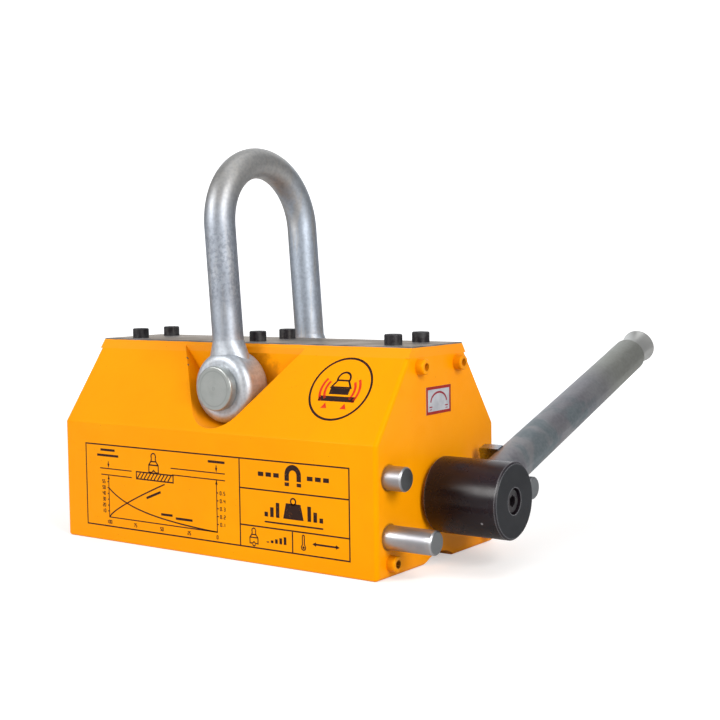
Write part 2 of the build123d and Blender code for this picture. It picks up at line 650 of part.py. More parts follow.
def grip_knob():
    """Flared knob pressed into the sleeve's outer end."""
    rim_z = HANDLE_REACH - KNOB_DOME_HEIGHT
    spigot_z = SLEEVE_END - KNOB_SPIGOT_LENGTH
    neck_z = SLEEVE_END + KNOB_SEAT_GAP
    dome_radius = (KNOB_RIM_RADIUS**2 + KNOB_DOME_HEIGHT**2) / (2 * KNOB_DOME_HEIGHT)
    half_angle = math.asin(KNOB_RIM_RADIUS / dome_radius) / 2
    dome_middle = (
        dome_radius * math.sin(half_angle),
        HANDLE_REACH - dome_radius * (1 - math.cos(half_angle)),
    )
    flare_end = (KNOB_RIM_RADIUS, rim_z - KNOB_RIM_HEIGHT)
    spigot = Polyline((0, spigot_z), (ROD_RADIUS, spigot_z), (ROD_RADIUS, neck_z), (KNOB_NECK_RADIUS, neck_z))
    flare = TangentArc((KNOB_NECK_RADIUS, neck_z), flare_end, tangent=(0, 1))
    rim = Line(flare_end, (KNOB_RIM_RADIUS, rim_z))
    dome = ThreePointArc((KNOB_RIM_RADIUS, rim_z), dome_middle, (0, HANDLE_REACH))
    axis = Line((0, HANDLE_REACH), (0, spigot_z))
    profile = make_face(spigot + flare + rim + dome + axis)
    return HANDLE_PLANE.location * revolve(Plane.XZ * profile, Axis.Z)


def latch_key():
    """Block welded on the sleeve's side towards the end plate; it drops behind the catch pin."""
    outer_x = HALF_LENGTH + KEY_PLATE_GAP
    x_range = (outer_x - HANDLE_X, KEY_INNER_X - HANDLE_X)
    key = box(x_range, (-KEY_LEADING, KEY_TRAILING), (KEY_INNER, KEY_OUTER))
    key = fillet(key.edges().filter_by(Axis.Z).group_by(Axis.X)[0], KEY_EDGE_RADIUS)
    key -= rod_z(SLEEVE_RADIUS, KEY_INNER - OVERCUT, KEY_OUTER + OVERCUT)
    return HANDLE_PLANE.location * key


# Labels

def rating_panel():
    """Printed film on the front face."""
    return box(PANEL_X, (-HALF_WIDTH - LABEL_THICKNESS, -HALF_WIDTH), PANEL_Z)


def round_label():
    """Round printed film on the front shoulder."""
    y = -(TOP_WIDTH / 2 + (BODY_HEIGHT - ROUND_LABEL_Z) * SHOULDER_RUN / SHOULDER_RISE)
    normal = Vector(0, -SHOULDER_RISE, SHOULDER_RUN).normalized()
    plane = Plane(origin=(ROUND_LABEL_X, y, ROUND_LABEL_Z), x_dir=(1, 0, 0), z_dir=normal)
    return extrude(plane * Circle(ROUND_LABEL_RADIUS), amount=LABEL_THICKNESS)


def end_label():
    """Small label above the hub that shows which way to turn the handle."""
    half = END_LABEL_WIDTH / 2
    return box((HALF_LENGTH, HALF_LENGTH + LABEL_THICKNESS), (-half, half), END_LABEL_Z)


PARTS = {
    "front_pole_block": pole_block(-1),
    "rear_pole_block": pole_block(1),
    "pole_separator": pole_separator(),
    "stator_magnets": stator_magnets(),
    "stator_spacer": stator_spacer(),
    "top_plate": top_plate(),
    "top_plate_screws": top_plate_screws(),
    "handle_end_plate": handle_end_plate(),
    "far_end_plate": far_end_plate(),
    "handle_end_screws": end_plate_screws(1),
    "far_end_screws": end_plate_screws(-1),
    "drive_bush": drive_bush(),
    "tail_bush": tail_bush(),
    "front_stop_pin": pressed_pin(FRONT_STOP, FRONT_PIN_END_X),
    "rear_stop_pin": pressed_pin(REAR_STOP, REAR_PIN_END_X),
    "catch_pin": pressed_pin(CATCH, CATCH_PIN_END_X),
    "shackle_pin": shackle_pin(),
    "shackle_pin_collar": shackle_pin_collar(),
    "rating_panel": rating_panel(),
    "round_label": round_label(),
    "end_label": end_label(),
    "shackle": shackle(),
    "rotor_front_pole": rotor_pole(-1),
    "rotor_rear_pole": rotor_pole(1),
    "rotor_magnets": rotor_magnets(),
    "drive_shaft": drive_shaft(),
    "tail_shaft": tail_shaft(),
    "rotor_cap_screws": rotor_cap_screws(),
    "hub": hub(),
    "hub_key": key_block(),
    "hub_washer": hub_washer(),
    "hub_screw": hub_screw(),
    "handle_rod": handle_rod(),
    "drag_ring": drag_ring(),
    "handle_sleeve": handle_sleeve(),
    "guide_screw": guide_screw(),
    "grip_knob": grip_knob(),
    "latch_key": latch_key(),
}

os.makedirs("parts", exist_ok=True)
for name, shape in PARTS.items():
    export_step(shape, f"parts/{name}.step")

rest = math.radians(HANDLE_REST_ELEVATION)
print("handle turns", HANDLE_TRAVEL, "degrees about X at height", AXLE_HEIGHT)
print("sleeve slides", SLEEVE_TRAVEL, "mm along", (0, round(math.cos(rest), 6), round(math.sin(rest), 6)))
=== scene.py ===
import json
import math

import bpy
import numpy as np
from mathutils import Matrix, Vector


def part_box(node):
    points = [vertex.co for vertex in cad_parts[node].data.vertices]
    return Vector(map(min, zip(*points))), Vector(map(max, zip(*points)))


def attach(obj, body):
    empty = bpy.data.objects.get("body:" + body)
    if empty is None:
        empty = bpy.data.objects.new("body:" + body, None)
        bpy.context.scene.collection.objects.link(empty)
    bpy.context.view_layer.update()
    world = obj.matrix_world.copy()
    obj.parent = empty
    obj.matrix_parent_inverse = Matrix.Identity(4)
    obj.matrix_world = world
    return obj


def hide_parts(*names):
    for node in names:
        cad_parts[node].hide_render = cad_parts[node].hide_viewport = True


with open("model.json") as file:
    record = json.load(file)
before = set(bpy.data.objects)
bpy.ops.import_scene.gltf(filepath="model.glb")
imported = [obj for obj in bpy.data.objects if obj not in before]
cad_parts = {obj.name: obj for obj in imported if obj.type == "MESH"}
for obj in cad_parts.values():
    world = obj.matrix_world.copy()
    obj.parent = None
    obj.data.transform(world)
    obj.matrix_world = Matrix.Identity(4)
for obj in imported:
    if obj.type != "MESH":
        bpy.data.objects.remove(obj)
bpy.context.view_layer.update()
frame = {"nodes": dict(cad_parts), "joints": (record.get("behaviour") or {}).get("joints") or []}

nodes = frame["nodes"]
mm = 0.001


# sizes read from the frame

plateLow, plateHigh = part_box("top_plate")
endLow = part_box("handle_end_plate")[0]
hubLow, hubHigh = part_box("hub")
pinLow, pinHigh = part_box("shackle_pin")
panelLow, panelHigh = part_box("rating_panel")
roundLow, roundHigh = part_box("round_label")
endLabelLow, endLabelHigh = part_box("end_label")

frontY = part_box("front_pole_block")[0].y
topZ = plateHigh.z
axleZ = (hubLow.z + hubHigh.z) / 2
pinZ = (pinLow.z + pinHigh.z) / 2


# camera, floor and lights

camera = {
    "place": (0.4848, -0.5979, 0.1622),
    "azimuth": 35.16,   # degrees, 0 looks along +Y
    "down": 4.10,
    "roll": -0.74,
    "lens": 64.1,
}


def makeCamera(settings):
    azimuth, down, roll = (math.radians(settings[key]) for key in ("azimuth", "down", "roll"))
    forward = Vector((
        -math.sin(azimuth) * math.cos(down),
        math.cos(azimuth) * math.cos(down),
        -math.sin(down),
    ))
    level = Vector((math.cos(azimuth), math.sin(azimuth), 0.0))
    upright = level.cross(forward)
    right = math.cos(roll) * level + math.sin(roll) * upright
    up = -math.sin(roll) * level + math.cos(roll) * upright
    turn = Matrix((right, up, -forward)).transposed()
    made = bpy.data.objects.new("camera", bpy.data.cameras.new("camera"))
    made.data.lens = settings["lens"]
    made.data.sensor_width = 36.0
    made.data.clip_start = 0.01
    made.matrix_world = Matrix.Translation(settings["place"]) @ turn.to_4x4()
    bpy.context.scene.collection.objects.link(made)
    bpy.context.scene.camera = made


makeCamera(camera)

# name: place, point it looks at, width, height, power in watts, colour
lamps = {
    "keyLamp": ((-0.64, -1.23, 0.75), (0.0, 0.0, 0.09), 0.62, 0.58, 13.0, (1.0, 0.99, 0.975)),
    "sideLamp": ((1.30, -0.50, 0.70), (0.1, 0.0, 0.06), 0.55, 0.85, 16.5, (1.0, 0.99, 0.975)),
    "topLamp": ((0.1, 0.1, 1.6), (0.0, 0.0, 0.1), 1.2, 1.2, 4.4, (0.97, 0.985, 1.0)),
    "backLamp": ((-0.7, 1.2, 0.7), (0.0, 0.0, 0.12), 1.8, 1.4, 7.0, (0.93, 0.965, 1.0)),
}


def makeLamp(name, place, target, width, height, power, colour):
    light = bpy.data.lights.new(name, "AREA")
    light.shape = "RECTANGLE"
    light.size = width
    light.size_y = height
    light.energy = power
    light.color = colour
    made = bpy.data.objects.new(name, light)
    made.location = place
    made.rotation_euler = (Vector(target) - Vector(place)).to_track_quat("-Z", "Y").to_euler()
    bpy.context.scene.collection.objects.link(made)


for name, values in lamps.items():
    makeLamp(name, *values)

studio = {
    "worldColour": (0.95, 0.965, 0.985),
    "worldStrength": 0.34,
    "worldSeen": 1.08,      # what the camera sees of it past the paper
    "floorColour": (0.68, 0.68, 0.68),
    "floorGlow": 0.45,      # light added to the paper close to the object, only as the camera sees it
    "farGlow": 1.0,
    "glowReach": (0.30, 1.30),   # metres from the origin where the glow starts and stops to grow
    "floorHalf": 2.4,
    "coveRadius": 0.9,
    "wallHeight": 2.6,
}

bpy.context.scene.view_settings.view_transform = "Standard"


# small helpers for shader nodes

def addNode(tree, kind, inputs=(), **settings):
    made = tree.nodes.new("ShaderNode" + kind)
    for key, value in settings.items():
        setattr(made, key, value)
    for key, value in dict(inputs).items():
        socket = made.inputs[key]
        if isinstance(value, bpy.types.NodeSocket):
            tree.links.new(value, socket)
        elif socket.type == "RGBA" and len(value) == 3:
            socket.default_value = (*value, 1.0)
        else:
            socket.default_value = value
    return made


def treeOf(*values):
    # the node tree of the first socket among the values
    return next(value.id_data for value in values if isinstance(value, bpy.types.NodeSocket))


def calc(operation, first, second=0.0):
    return addNode(treeOf(first, second), "Math", {0: first, 1: second}, operation=operation).outputs[0]


def times(first, second):
    return calc("MULTIPLY", first, second)


def plus(first, second):
    return calc("ADD", first, second)


def minus(first, second):
    return calc("SUBTRACT", first, second)


def larger(first, second):
    # the larger of two, where there may be no first one yet
    return second if first is None else calc("MAXIMUM", first, second)


def vectorCalc(operation, first, second=(0.0, 0.0, 0.0)):
    made = addNode(treeOf(first, second), "VectorMath", {0: first, 1: second}, operation=operation)
    return made.outputs["Value" if operation in ("DOT_PRODUCT", "LENGTH") else "Vector"]


def span(value, low, high, start=0.0, end=1.0, soft=True):
    # a value between low and high becomes one between start and end, eased at both ends
    kind = "SMOOTHSTEP" if soft else "LINEAR"
    inputs = {"Value": value, "From Min": low, "From Max": high, "To Min": start, "To Max": end}
    return addNode(value.id_data, "MapRange", inputs, interpolation_type=kind).outputs["Result"]


def blendColours(share, first, second):
    inputs = {0: share, 6: first, 7: second}
    return addNode(treeOf(share, first, second), "Mix", inputs, data_type="RGBA", blend_type="MIX").outputs[2]


def noiseAt(place, scale, detail=2.0):
    return addNode(place.id_data, "TexNoise", {"Vector": place, "Scale": scale, "Detail": detail}).outputs[0]


def newGroup(name, inputs, outputs):
    # inputs are names with defaults, where none or a tuple makes a vector; outputs are plain values
    tree = bpy.data.node_groups.new(name, "ShaderNodeTree")
    for label, default in inputs.items():
        kind = "NodeSocketFloat" if isinstance(default, float) else "NodeSocketVector"
        socket = tree.interface.new_socket(name=label, in_out="INPUT", socket_type=kind)
        if default is not None:
            socket.default_value = default
    for label in outputs:
        tree.interface.new_socket(name=label, in_out="OUTPUT", socket_type="NodeSocketFloat")
    return tree, tree.nodes.new("NodeGroupInput").outputs, tree.nodes.new("NodeGroupOutput").inputs


def useGroup(group, **inputs):
    tree = inputs["Vector"].id_data
    made = tree.nodes.new("ShaderNodeGroup")
    made.node_tree = group
    for key, value in inputs.items():
        if isinstance(value, bpy.types.NodeSocket):
            tree.links.new(value, made.inputs[key])
        else:
            made.inputs[key].default_value = value
    return made.outputs


def makeWorld(values):
    # dim as a light, and white where the camera sees it past the paper
    world = bpy.data.worlds.new("studio")
    bpy.context.scene.world = world
    world.use_nodes = True
    tree = world.node_tree
    shader = tree.nodes["Background"]
    shader.inputs["Color"].default_value = (*values["worldColour"], 1.0)
    seen = addNode(tree, "LightPath").outputs["Is Camera Ray"]
    level = span(seen, 0.0, 1.0, values["worldStrength"], values["worldSeen"], soft=False)
    tree.links.new(level, shader.inputs["Strength"])


makeWorld(studio)


# effects that several materials share

def makeCloudGroup():
    # a soft patchy mask: noise, cut between Low and High
    inputs = {"Vector": None, "Scale": 40.0, "Detail": 3.0, "Warp": 0.3, "Low": 0.4, "High": 0.65}
    tree, given, out = newGroup("cloudMask", inputs, ["Mask"])
    sockets = {"Vector": "Vector", "Scale": "Scale", "Detail": "Detail", "Distortion": "Warp"}
    noise = addNode(tree, "TexNoise", {key: given[label] for key, label in sockets.items()})
    mask = span(noise.outputs[0], given["Low"], given["High"])
    tree.links.new(mask, out["Mask"])
    return tree


def makeEdgeGroup():
    # edges show where the normal of the rounded-over surface leaves the surface's own normal
    inputs = {"Vector": None, "Radius": 0.001, "Reach": 0.12, "Breakup": 300.0, "Cover": 0.5}
    tree, given, out = newGroup("edgeMask", inputs, ["Edge", "Worn"])
    rounded = addNode(tree, "Bevel", {"Radius": given["Radius"]}, samples=6)
    own = addNode(tree, "NewGeometry").outputs["Normal"]
    away = minus(1.0, vectorCalc("DOT_PRODUCT", rounded.outputs[0], own))
    edge = span(away, 0.0, given["Reach"])
    noise = noiseAt(given["Vector"], given["Breakup"], 4.0)
    # worn where edge times noise is over a limit that falls from 0.75 to 0.5 as Cover goes from 0 to 1
    low = minus(0.75, times(given["Cover"], 0.25))
    worn = span(times(edge, noise), low, plus(low, 0.05))
    tree.links.new(edge, out["Edge"])
    tree.links.new(worn, out["Worn"])
    return tree


def makeSpeckGroup():
    # small round dots: distance to scattered points under Size, kept where a coarse noise is high
    inputs = {"Vector": None, "Scale": 300.0, "Size": 0.12, "Cover": 0.4}
    tree, given, out = newGroup("speckMask", inputs, ["Mask"])
    points = addNode(tree, "TexVoronoi", {"Vector": given["Vector"], "Scale": given["Scale"]})
    near = calc("LESS_THAN", points.outputs["Distance"], given["Size"])
    noise = noiseAt(given["Vector"], times(given["Scale"], 0.17))
    keep = calc("LESS_THAN", noise, given["Cover"])
    tree.links.new(times(near, keep), out["Mask"])
    return tree


def makeGrainGroup():
    # long fine lines: noise on coordinates squeezed along one axis by Stretch
    inputs = {"Vector": None, "Stretch": (1.0, 1.0, 0.05), "Scale": 900.0}
    tree, given, out = newGroup("grainLines", inputs, ["Value"])
    squeezed = vectorCalc("MULTIPLY", given["Vector"], given["Stretch"])
    tree.links.new(noiseAt(squeezed, given["Scale"], 3.0), out["Value"])
    return tree


def makeRingGroup():
    # lathe marks: a wave of the distance from an axis, roughened by noise; Across is 0 along the axis
    inputs = {"Vector": None, "Across": (0.0, 1.0, 1.0), "Pitch": 0.0006}
    tree, given, out = newGroup("turnedRings", inputs, ["Value", "Distance"])
    flat = vectorCalc("MULTIPLY", given["Vector"], given["Across"])
    distance = vectorCalc("LENGTH", flat)
    phase = plus(calc("DIVIDE", distance, given["Pitch"]), noiseAt(flat, 260.0))
    wave = calc("SINE", times(phase, 2 * math.pi))
    tree.links.new(span(wave, -1.0, 1.0, soft=False), out["Value"])
    tree.links.new(distance, out["Distance"])
    return tree


clouds = makeCloudGroup()
edges = makeEdgeGroup()
specks = makeSpeckGroup()
grain = makeGrainGroup()
rings = makeRingGroup()
print("shared effects: done")


def cloud(place, scale, detail, low, high, warp=0.3):
    given = {"Vector": place, "Scale": scale, "Detail": detail, "Low": low, "High": high, "Warp": warp}
    return useGroup(clouds, **given)["Mask"]


def dots(place, scale, size, cover):
    return useGroup(specks, Vector=place, Scale=scale, Size=size, Cover=cover)["Mask"]


def fineLines(place, stretch, scale):
    return useGroup(grain, Vector=place, Stretch=stretch, Scale=scale)["Value"]


def edgeMasks(place, radius, reach, breakup, cover):
    given = {"Vector": place, "Radius": radius, "Reach": reach, "Breakup": breakup, "Cover": cover}
    return useGroup(edges, **given)


# materials

def startMaterial(name, **sockets):
    made = bpy.data.materials.new(name)
    made.use_nodes = True
    shader = made.node_tree.nodes["Principled BSDF"]
    for key, value in sockets.items():
        shader.inputs[key.replace("_", " ")].default_value = value
    return made, shader, addNode(made.node_tree, "TexCoord").outputs["Object"]


def finishMaterial(shader, colour, roughness, height, lift, metallic=None):
    tree = shader.id_data
    tree.links.new(colour, shader.inputs["Base Color"])
    tree.links.new(roughness, shader.inputs["Roughness"])
    if metallic is not None:
        tree.links.new(metallic, shader.inputs["Metallic"])
    bump = addNode(tree, "Bump", {"Height": height, "Distance": lift, "Strength": 1.0})
    tree.links.new(bump.outputs[0], shader.inputs["Normal"])


def centred(place, centre):
    return vectorCalc("SUBTRACT", place, centre)


def splitPlace(place):
    return addNode(place.id_data, "SeparateXYZ", {0: place}).outputs


paint = {
    "colour": (0.92, 0.308, 0.0003),
    "deep": (0.84, 0.245, 0.0003),
    "pale": (0.95, 0.342, 0.0006),
    "primer": (0.30, 0.26, 0.22),
    "bareSteel": (0.46, 0.45, 0.44),
    # dark colour for the dust specks, and for the painted shade in the screw sockets and round the pins
    "dirtAndShade": (0.10, 0.035, 0.008),
    "roughness": 0.36,
    "cloudScale": 9.0,
    "mottleScale": 70.0,
    "deepShare": 0.14,
    "dustScale": 330.0,
    "dustShare": 0.45,
    "peelScale": 420.0,     # orange peel
    "peel": 0.26,
    "lift": 0.00012,        # metres that a height of 1 stands for
    "seam": (0.0016, 0.0024),   # metres from a flush joint where wear starts and is in full
    "edgeRadius": 0.0008,   # metres
    "paintedEdgeHighlight": 0.30,      # how much lighter the paint is painted along its edges: a painted edge highlight
    "wear": 0.22,           # share of the edges that has lost its paint
}
enamelShine = {"IOR": 1.45, "Specular_IOR_Level": 0.38, "Specular_Tint": (1.0, 0.52, 0.03, 1.0)}


def awayFromSeams(place, reach):
    # 0 on the flush joints, where body, end plates and top plate were painted over as one, and 1 elsewhere
    parts = splitPlace(place)
    alongBody = minus(calc("ABSOLUTE", parts["X"]), endLow.x)
    upBody = minus(parts["Z"], plateLow.z)
    nearest = calc("MINIMUM", calc("ABSOLUTE", alongBody), calc("ABSOLUTE", upBody))
    return span(nearest, *reach)


def paintLayers(place, values):
    # returns colour, roughness, metallic and height of worn enamel over steel, with a painted highlight along
    # its edges
    large = cloud(place, values["cloudScale"], 2.0, 0.35, 0.7)
    small = cloud(place, values["mottleScale"], 4.0, 0.35, 0.75)
    colour = blendColours(large, values["colour"], values["pale"])
    colour = blendColours(times(small, values["deepShare"]), colour, values["deep"])
    edge = edgeMasks(place, values["edgeRadius"], 0.10, 210.0, values["wear"])
    clear = awayFromSeams(place, values["seam"])
    # painted edge highlight: the enamel turns paler along edges, but not at the flush joints
    thin = times(times(edge["Edge"], clear), values["paintedEdgeHighlight"])
    colour = blendColours(thin, colour, values["pale"])
    dust = dots(place, values["dustScale"], 0.085, 0.40)
    colour = blendColours(times(dust, values["dustShare"]), colour, values["dirtAndShade"])
    worn = times(edge["Worn"], clear)
    metal = cloud(place, 600.0, 3.0, 0.4, 0.6)
    under = blendColours(metal, values["primer"], values["bareSteel"])
    colour = blendColours(worn, colour, under)
    base = span(small, 0.0, 1.0, values["roughness"], values["roughness"] + 0.08)
    roughness = plus(base, times(worn, 0.12))
    metallic = times(worn, 0.8)
    peel = noiseAt(place, values["peelScale"])
    height = minus(times(peel, values["peel"]), worn)
    return colour, roughness, metallic, height


def paintedPinShadow(place, rings):
    # painted shadow: a dark line where something round comes out of the paint, by nearness to a circle about
    # its axis
    mask = None
    for y, z, radius, width in rings:
        across = vectorCalc("MULTIPLY", centred(place, (0.0, y, z)), (0.0, 1.0, 1.0))
        gap = minus(vectorCalc("LENGTH", across), radius)
        ring = span(calc("ABSOLUTE", gap), width * 0.35, width, 0.75, 0.0)
        mask = larger(mask, ring)
    broken = cloud(place, 210.0, 3.0, 0.30, 0.60)
    return times(mask, plus(times(broken, 0.5), 0.5))


def paintMaterial(name, values, sockets=(), rings=()):
    made, shader, place = startMaterial(name, **enamelShine)
    colour, roughness, metallic, height = paintLayers(place, values)
    # painted shade and dirt in the screw sockets, and a painted shadow round the pins, both in the dark
    # colour
    if sockets:
        colour = blendColours(socketShadeAndDirt(place, sockets), colour, values["dirtAndShade"])
    if rings:
        colour = blendColours(paintedPinShadow(place, rings), colour, values["dirtAndShade"])
    finishMaterial(shader, colour, roughness, height, values["lift"], metallic)
    return made


def socketShadeAndDirt(place, sockets):
    # painted shade and dirt inside the hexagon sockets: darker by nearness to the closest screw axis, the
    # sides being mirror images
    parts = splitPlace(place)
    inputs = {1: calc("ABSOLUTE", parts["Y"]), 2: parts["Z"]}
    folded = addNode(place.id_data, "CombineXYZ", inputs).outputs[0]
    mask = None
    for y, z, share in sockets:
        distance = vectorCalc("LENGTH", centred(folded, (0.0, y, z)))
        hole = span(distance, 0.0021, 0.0025, share, 0.0)
        mask = larger(mask, hole)
    return mask


# the painted shadow and dirt in the shackle recess, and chips on its edge
recess = {
    "shadowAndDirtReach": (0.0225, 0.034),   # metres from the pin's axis where the painted shadow and dirt start to fade and end
    "wander": 0.030,                # how far the noise moves the smear's edge
    "fade": (-0.004, 0.009),        # where the smear fades, about its middle
    "wall": (0.010, -0.0295),       # how far behind the front the painted shadow and dirt start, and the Y where they are in full
    "dirtShare": 0.45,
    "shadeShare": 0.52,
    "shadowAndDirtColour": (0.21, 0.045, 0.002),
    "chips": (                      # place and size
        ((-0.0390, -0.0326, 0.1102), 0.0011),
        ((-0.0363, -0.0350, 0.1069), 0.0009),
        ((-0.0440, -0.0280, 0.1165), 0.0007),
    ),
    "chipColour": (0.20, 0.17, 0.14),
}


def recessShadowAndDirt(place, values):
    # a painted shadow round the shackle's eye, with oily dirt, near the shackle pin: a smear of both whose
    # edge a coarse noise breaks up, and a few specks of dirt past it
    across = vectorCalc("MULTIPLY", centred(place, (0.0, 0.0, pinZ)), (1.0, 0.0, 1.0))
    inner, outer = values["shadowAndDirtReach"]
    distance = vectorCalc("LENGTH", across)
    near = span(distance, inner, outer, 1.0, 0.0)
    start, full = values["wall"]
    deep = span(splitPlace(place)["Y"], frontY + start, full)
    noise = {"Vector": place, "Scale": 150.0, "Detail": 6.0, "Roughness": 0.62}
    coarse = addNode(place.id_data, "TexNoise", noise).outputs[0]
    wander = plus(distance, times(coarse, values["wander"]))
    middle = inner + values["wander"] / 2
    fadeStart, fadeEnd = values["fade"]
    smear = span(wander, middle + fadeStart, middle + fadeEnd, 1.0, 0.0)
    spots = dots(place, 900.0, 0.30, 0.46)
    shadowAndDirtFilm = times(smear, values["shadeShare"])
    flecks = times(times(near, spots), values["dirtShare"])
    return times(calc("MAXIMUM", shadowAndDirtFilm, flecks), deep)


def poleMaterial(name, values, marks):
    # the enamel with a painted shadow and dirt in the shackle recess and small chips on the recess's far
    # edge; a chip is where the distance to its centre plus four sizes times a noise is under about 2.8 sizes
    made, shader, place = startMaterial(name, **enamelShine)
    colour, roughness, metallic, height = paintLayers(place, values)
    # painted shadow of the shackle, with dirt, on the recess wall
    colour = blendColours(recessShadowAndDirt(place, marks), colour, marks["shadowAndDirtColour"])
    jagged = noiseAt(place, 480.0, 5.0)
    chipped = None
    for centre, size in marks["chips"]:
        distance = vectorCalc("LENGTH", centred(place, centre))
        distance = plus(distance, times(jagged, size * 4.0))
        chip = span(distance, size * 2.7, size * 2.9, 1.0, 0.0)
        chipped = larger(chipped, chip)
    colour = blendColours(chipped, colour, marks["chipColour"])
    metallic = calc("MAXIMUM", metallic, times(chipped, 0.6))
    height = minus(height, chipped)
    finishMaterial(shader, colour, roughness, height, values["lift"], metallic)
    return made


bareTop = {
    "steel": (0.29, 0.292, 0.30),
    "stain": (0.175, 0.175, 0.18),
    "bloom": (0.40, 0.395, 0.41),
    "roughness": 0.42,
    "paintLine": 0.0010,     # how far under the top the paint stops, metres
    "raggedness": 0.0006,
}


def topPlateMaterial(name, values, enamel):
    made, shader, place = startMaterial(name, IOR=1.42, Specular_Tint=(1.0, 0.8, 0.6, 1.0))
    paintColour, paintRough, paintMetal, paintHeight = paintLayers(place, enamel)
    stain = cloud(place, 24.0, 5.0, 0.42, 0.62, 0.8)
    bloom = cloud(place, 60.0, 4.0, 0.5, 0.72)
    lines = fineLines(place, (0.04, 1.0, 1.0), 1100.0)
    steel = blendColours(stain, values["steel"], values["stain"])
    steel = blendColours(times(bloom, 0.6), steel, values["bloom"])
    steelRough = span(lines, 0.3, 0.7, values["roughness"], values["roughness"] + 0.16)
    ragged = noiseAt(place, 130.0, 5.0)
    height = splitPlace(place)["Z"]
    edgeZ = plus(times(ragged, values["raggedness"]), topZ - values["paintLine"])
    bare = span(minus(height, edgeZ), 0.0, 0.0001)
    colour = blendColours(bare, paintColour, steel)
    roughness = addNode(place.id_data, "Mix", {0: bare, 2: paintRough, 3: steelRough}).outputs[0]
    metallic = calc("MAXIMUM", times(bare, 0.75), paintMetal)
    lift = addNode(place.id_data, "Mix", {0: bare, 2: paintHeight, 3: times(lines, 0.12)}).outputs[0]
    finishMaterial(shader, colour, roughness, lift, 0.00010, metallic)
    return made


def zincMaterial(name, values):
    # clouded zinc plate over a forging: cool legs, a browner bow, a hammered patch on the legs' middle
    made, shader, place = startMaterial(name, IOR=2.2, Metallic=1.0)
    broad = cloud(place, values["broadScale"], 3.0, 0.34, 0.70, 0.6)
    fine = cloud(place, values["fineScale"], 5.0, 0.42, 0.62, 0.2)
    height = splitPlace(place)["Z"]
    bow = span(height, values["bowStart"], values["bowEnd"])
    across = splitPlace(place)["Y"]
    patchFoot = span(height, *values["patchFoot"])
    patch = times(patchFoot, span(height, *values["patchTop"], 1.0, 0.0))
    patch = times(patch, span(across, -0.01, 0.01, 1.0, 0.2))
    streaks = fineLines(place, (1.0, 1.0, 0.10), 230.0)
    colour = blendColours(broad, values["pale"], values["dark"])
    colour = blendColours(times(bow, values["bowShare"]), colour, values["bow"])
    eye = span(height, values["eyeTop"] - 0.012, values["eyeTop"], values["eyeShare"], 0.0)
    colour = blendColours(eye, colour, values["eye"])
    rear = span(across, 0.012, 0.028)
    colour = blendColours(times(rear, values["rearShare"]), colour, values["rear"])
    streakShare = plus(times(rear, 0.30), 0.20)
    streaked = times(span(streaks, 0.5, 0.66), streakShare)
    colour = blendColours(streaked, colour, values["beige"])
    spotty = plus(times(patch, 0.28), values["mottle"])
    colour = blendColours(times(fine, spotty), colour, values["spot"])
    edge = edgeMasks(place, 0.0008, 0.12, 300.0, 0.6)
    colour = blendColours(times(edge["Edge"], 0.45), colour, values["rubbed"])
    low, high = values["roughness"]
    mixed = plus(times(broad, 0.45), times(patch, 0.55))
    roughness = span(mixed, 0.0, 1.0, low, high, soft=False)
    roughness = minus(roughness, times(bow, values["smoothBow"]))
    pits = noiseAt(place, values["pitScale"], 4.0)
    waves = noiseAt(place, 70.0, 2.0)
    hammered = times(pits, plus(times(patch, 0.8), 0.22))
    finishMaterial(shader, colour, roughness, plus(hammered, waves), values["pitDepth"])
    return made


zincShackle = {
    "pale": (0.40, 0.435, 0.49), "dark": (0.32, 0.35, 0.40), "spot": (0.20, 0.215, 0.245),
    "rubbed": (0.70, 0.73, 0.76), "bow": (0.50, 0.485, 0.46), "beige": (0.48, 0.44, 0.39),
    "bowStart": 0.185, "bowEnd": 0.218, "bowShare": 0.85,
    "eye": (0.62, 0.655, 0.70), "eyeTop": 0.128, "eyeShare": 0.8,
    "rear": (0.42, 0.475, 0.55), "rearShare": 0.55,
    "broadScale": 46.0, "fineScale": 520.0, "mottle": 0.22,
    "patchFoot": (0.138, 0.152), "patchTop": (0.176, 0.192),    # heights where the hammered patch fades
    "roughness": (0.52, 0.64), "smoothBow": 0.06,
    "pitScale": 640.0, "pitDepth": 0.00012,
}
zincKey = {
    **zincShackle, "bowShare": 0.0, "eyeShare": 0.0, "rearShare": 0.0, "broadScale": 60.0, "fineScale": 330.0,
    "pitDepth": 0.00005, "dark": (0.335, 0.365, 0.42), "spot": (0.17, 0.18, 0.21), "roughness": (0.26, 0.36),
}
sleeveZinc = {
    "grey": (0.30, 0.30, 0.315),
    "violet": (0.235, 0.225, 0.25),
    "blue": (0.172, 0.212, 0.232),
    "olive": (0.31, 0.315, 0.27),
    "rubbed": (0.55, 0.56, 0.56),
    "patchShare": 0.85, "fineShare": 0.10, "pitDepth": 0.00008,
    "blueStart": 0.045, "blueEnd": 0.125,      # metres out from the axle where the blue-green patches lie
    "oliveStart": 0.135, "oliveEnd": 0.180,
    "roughness": (0.44, 0.54),
}


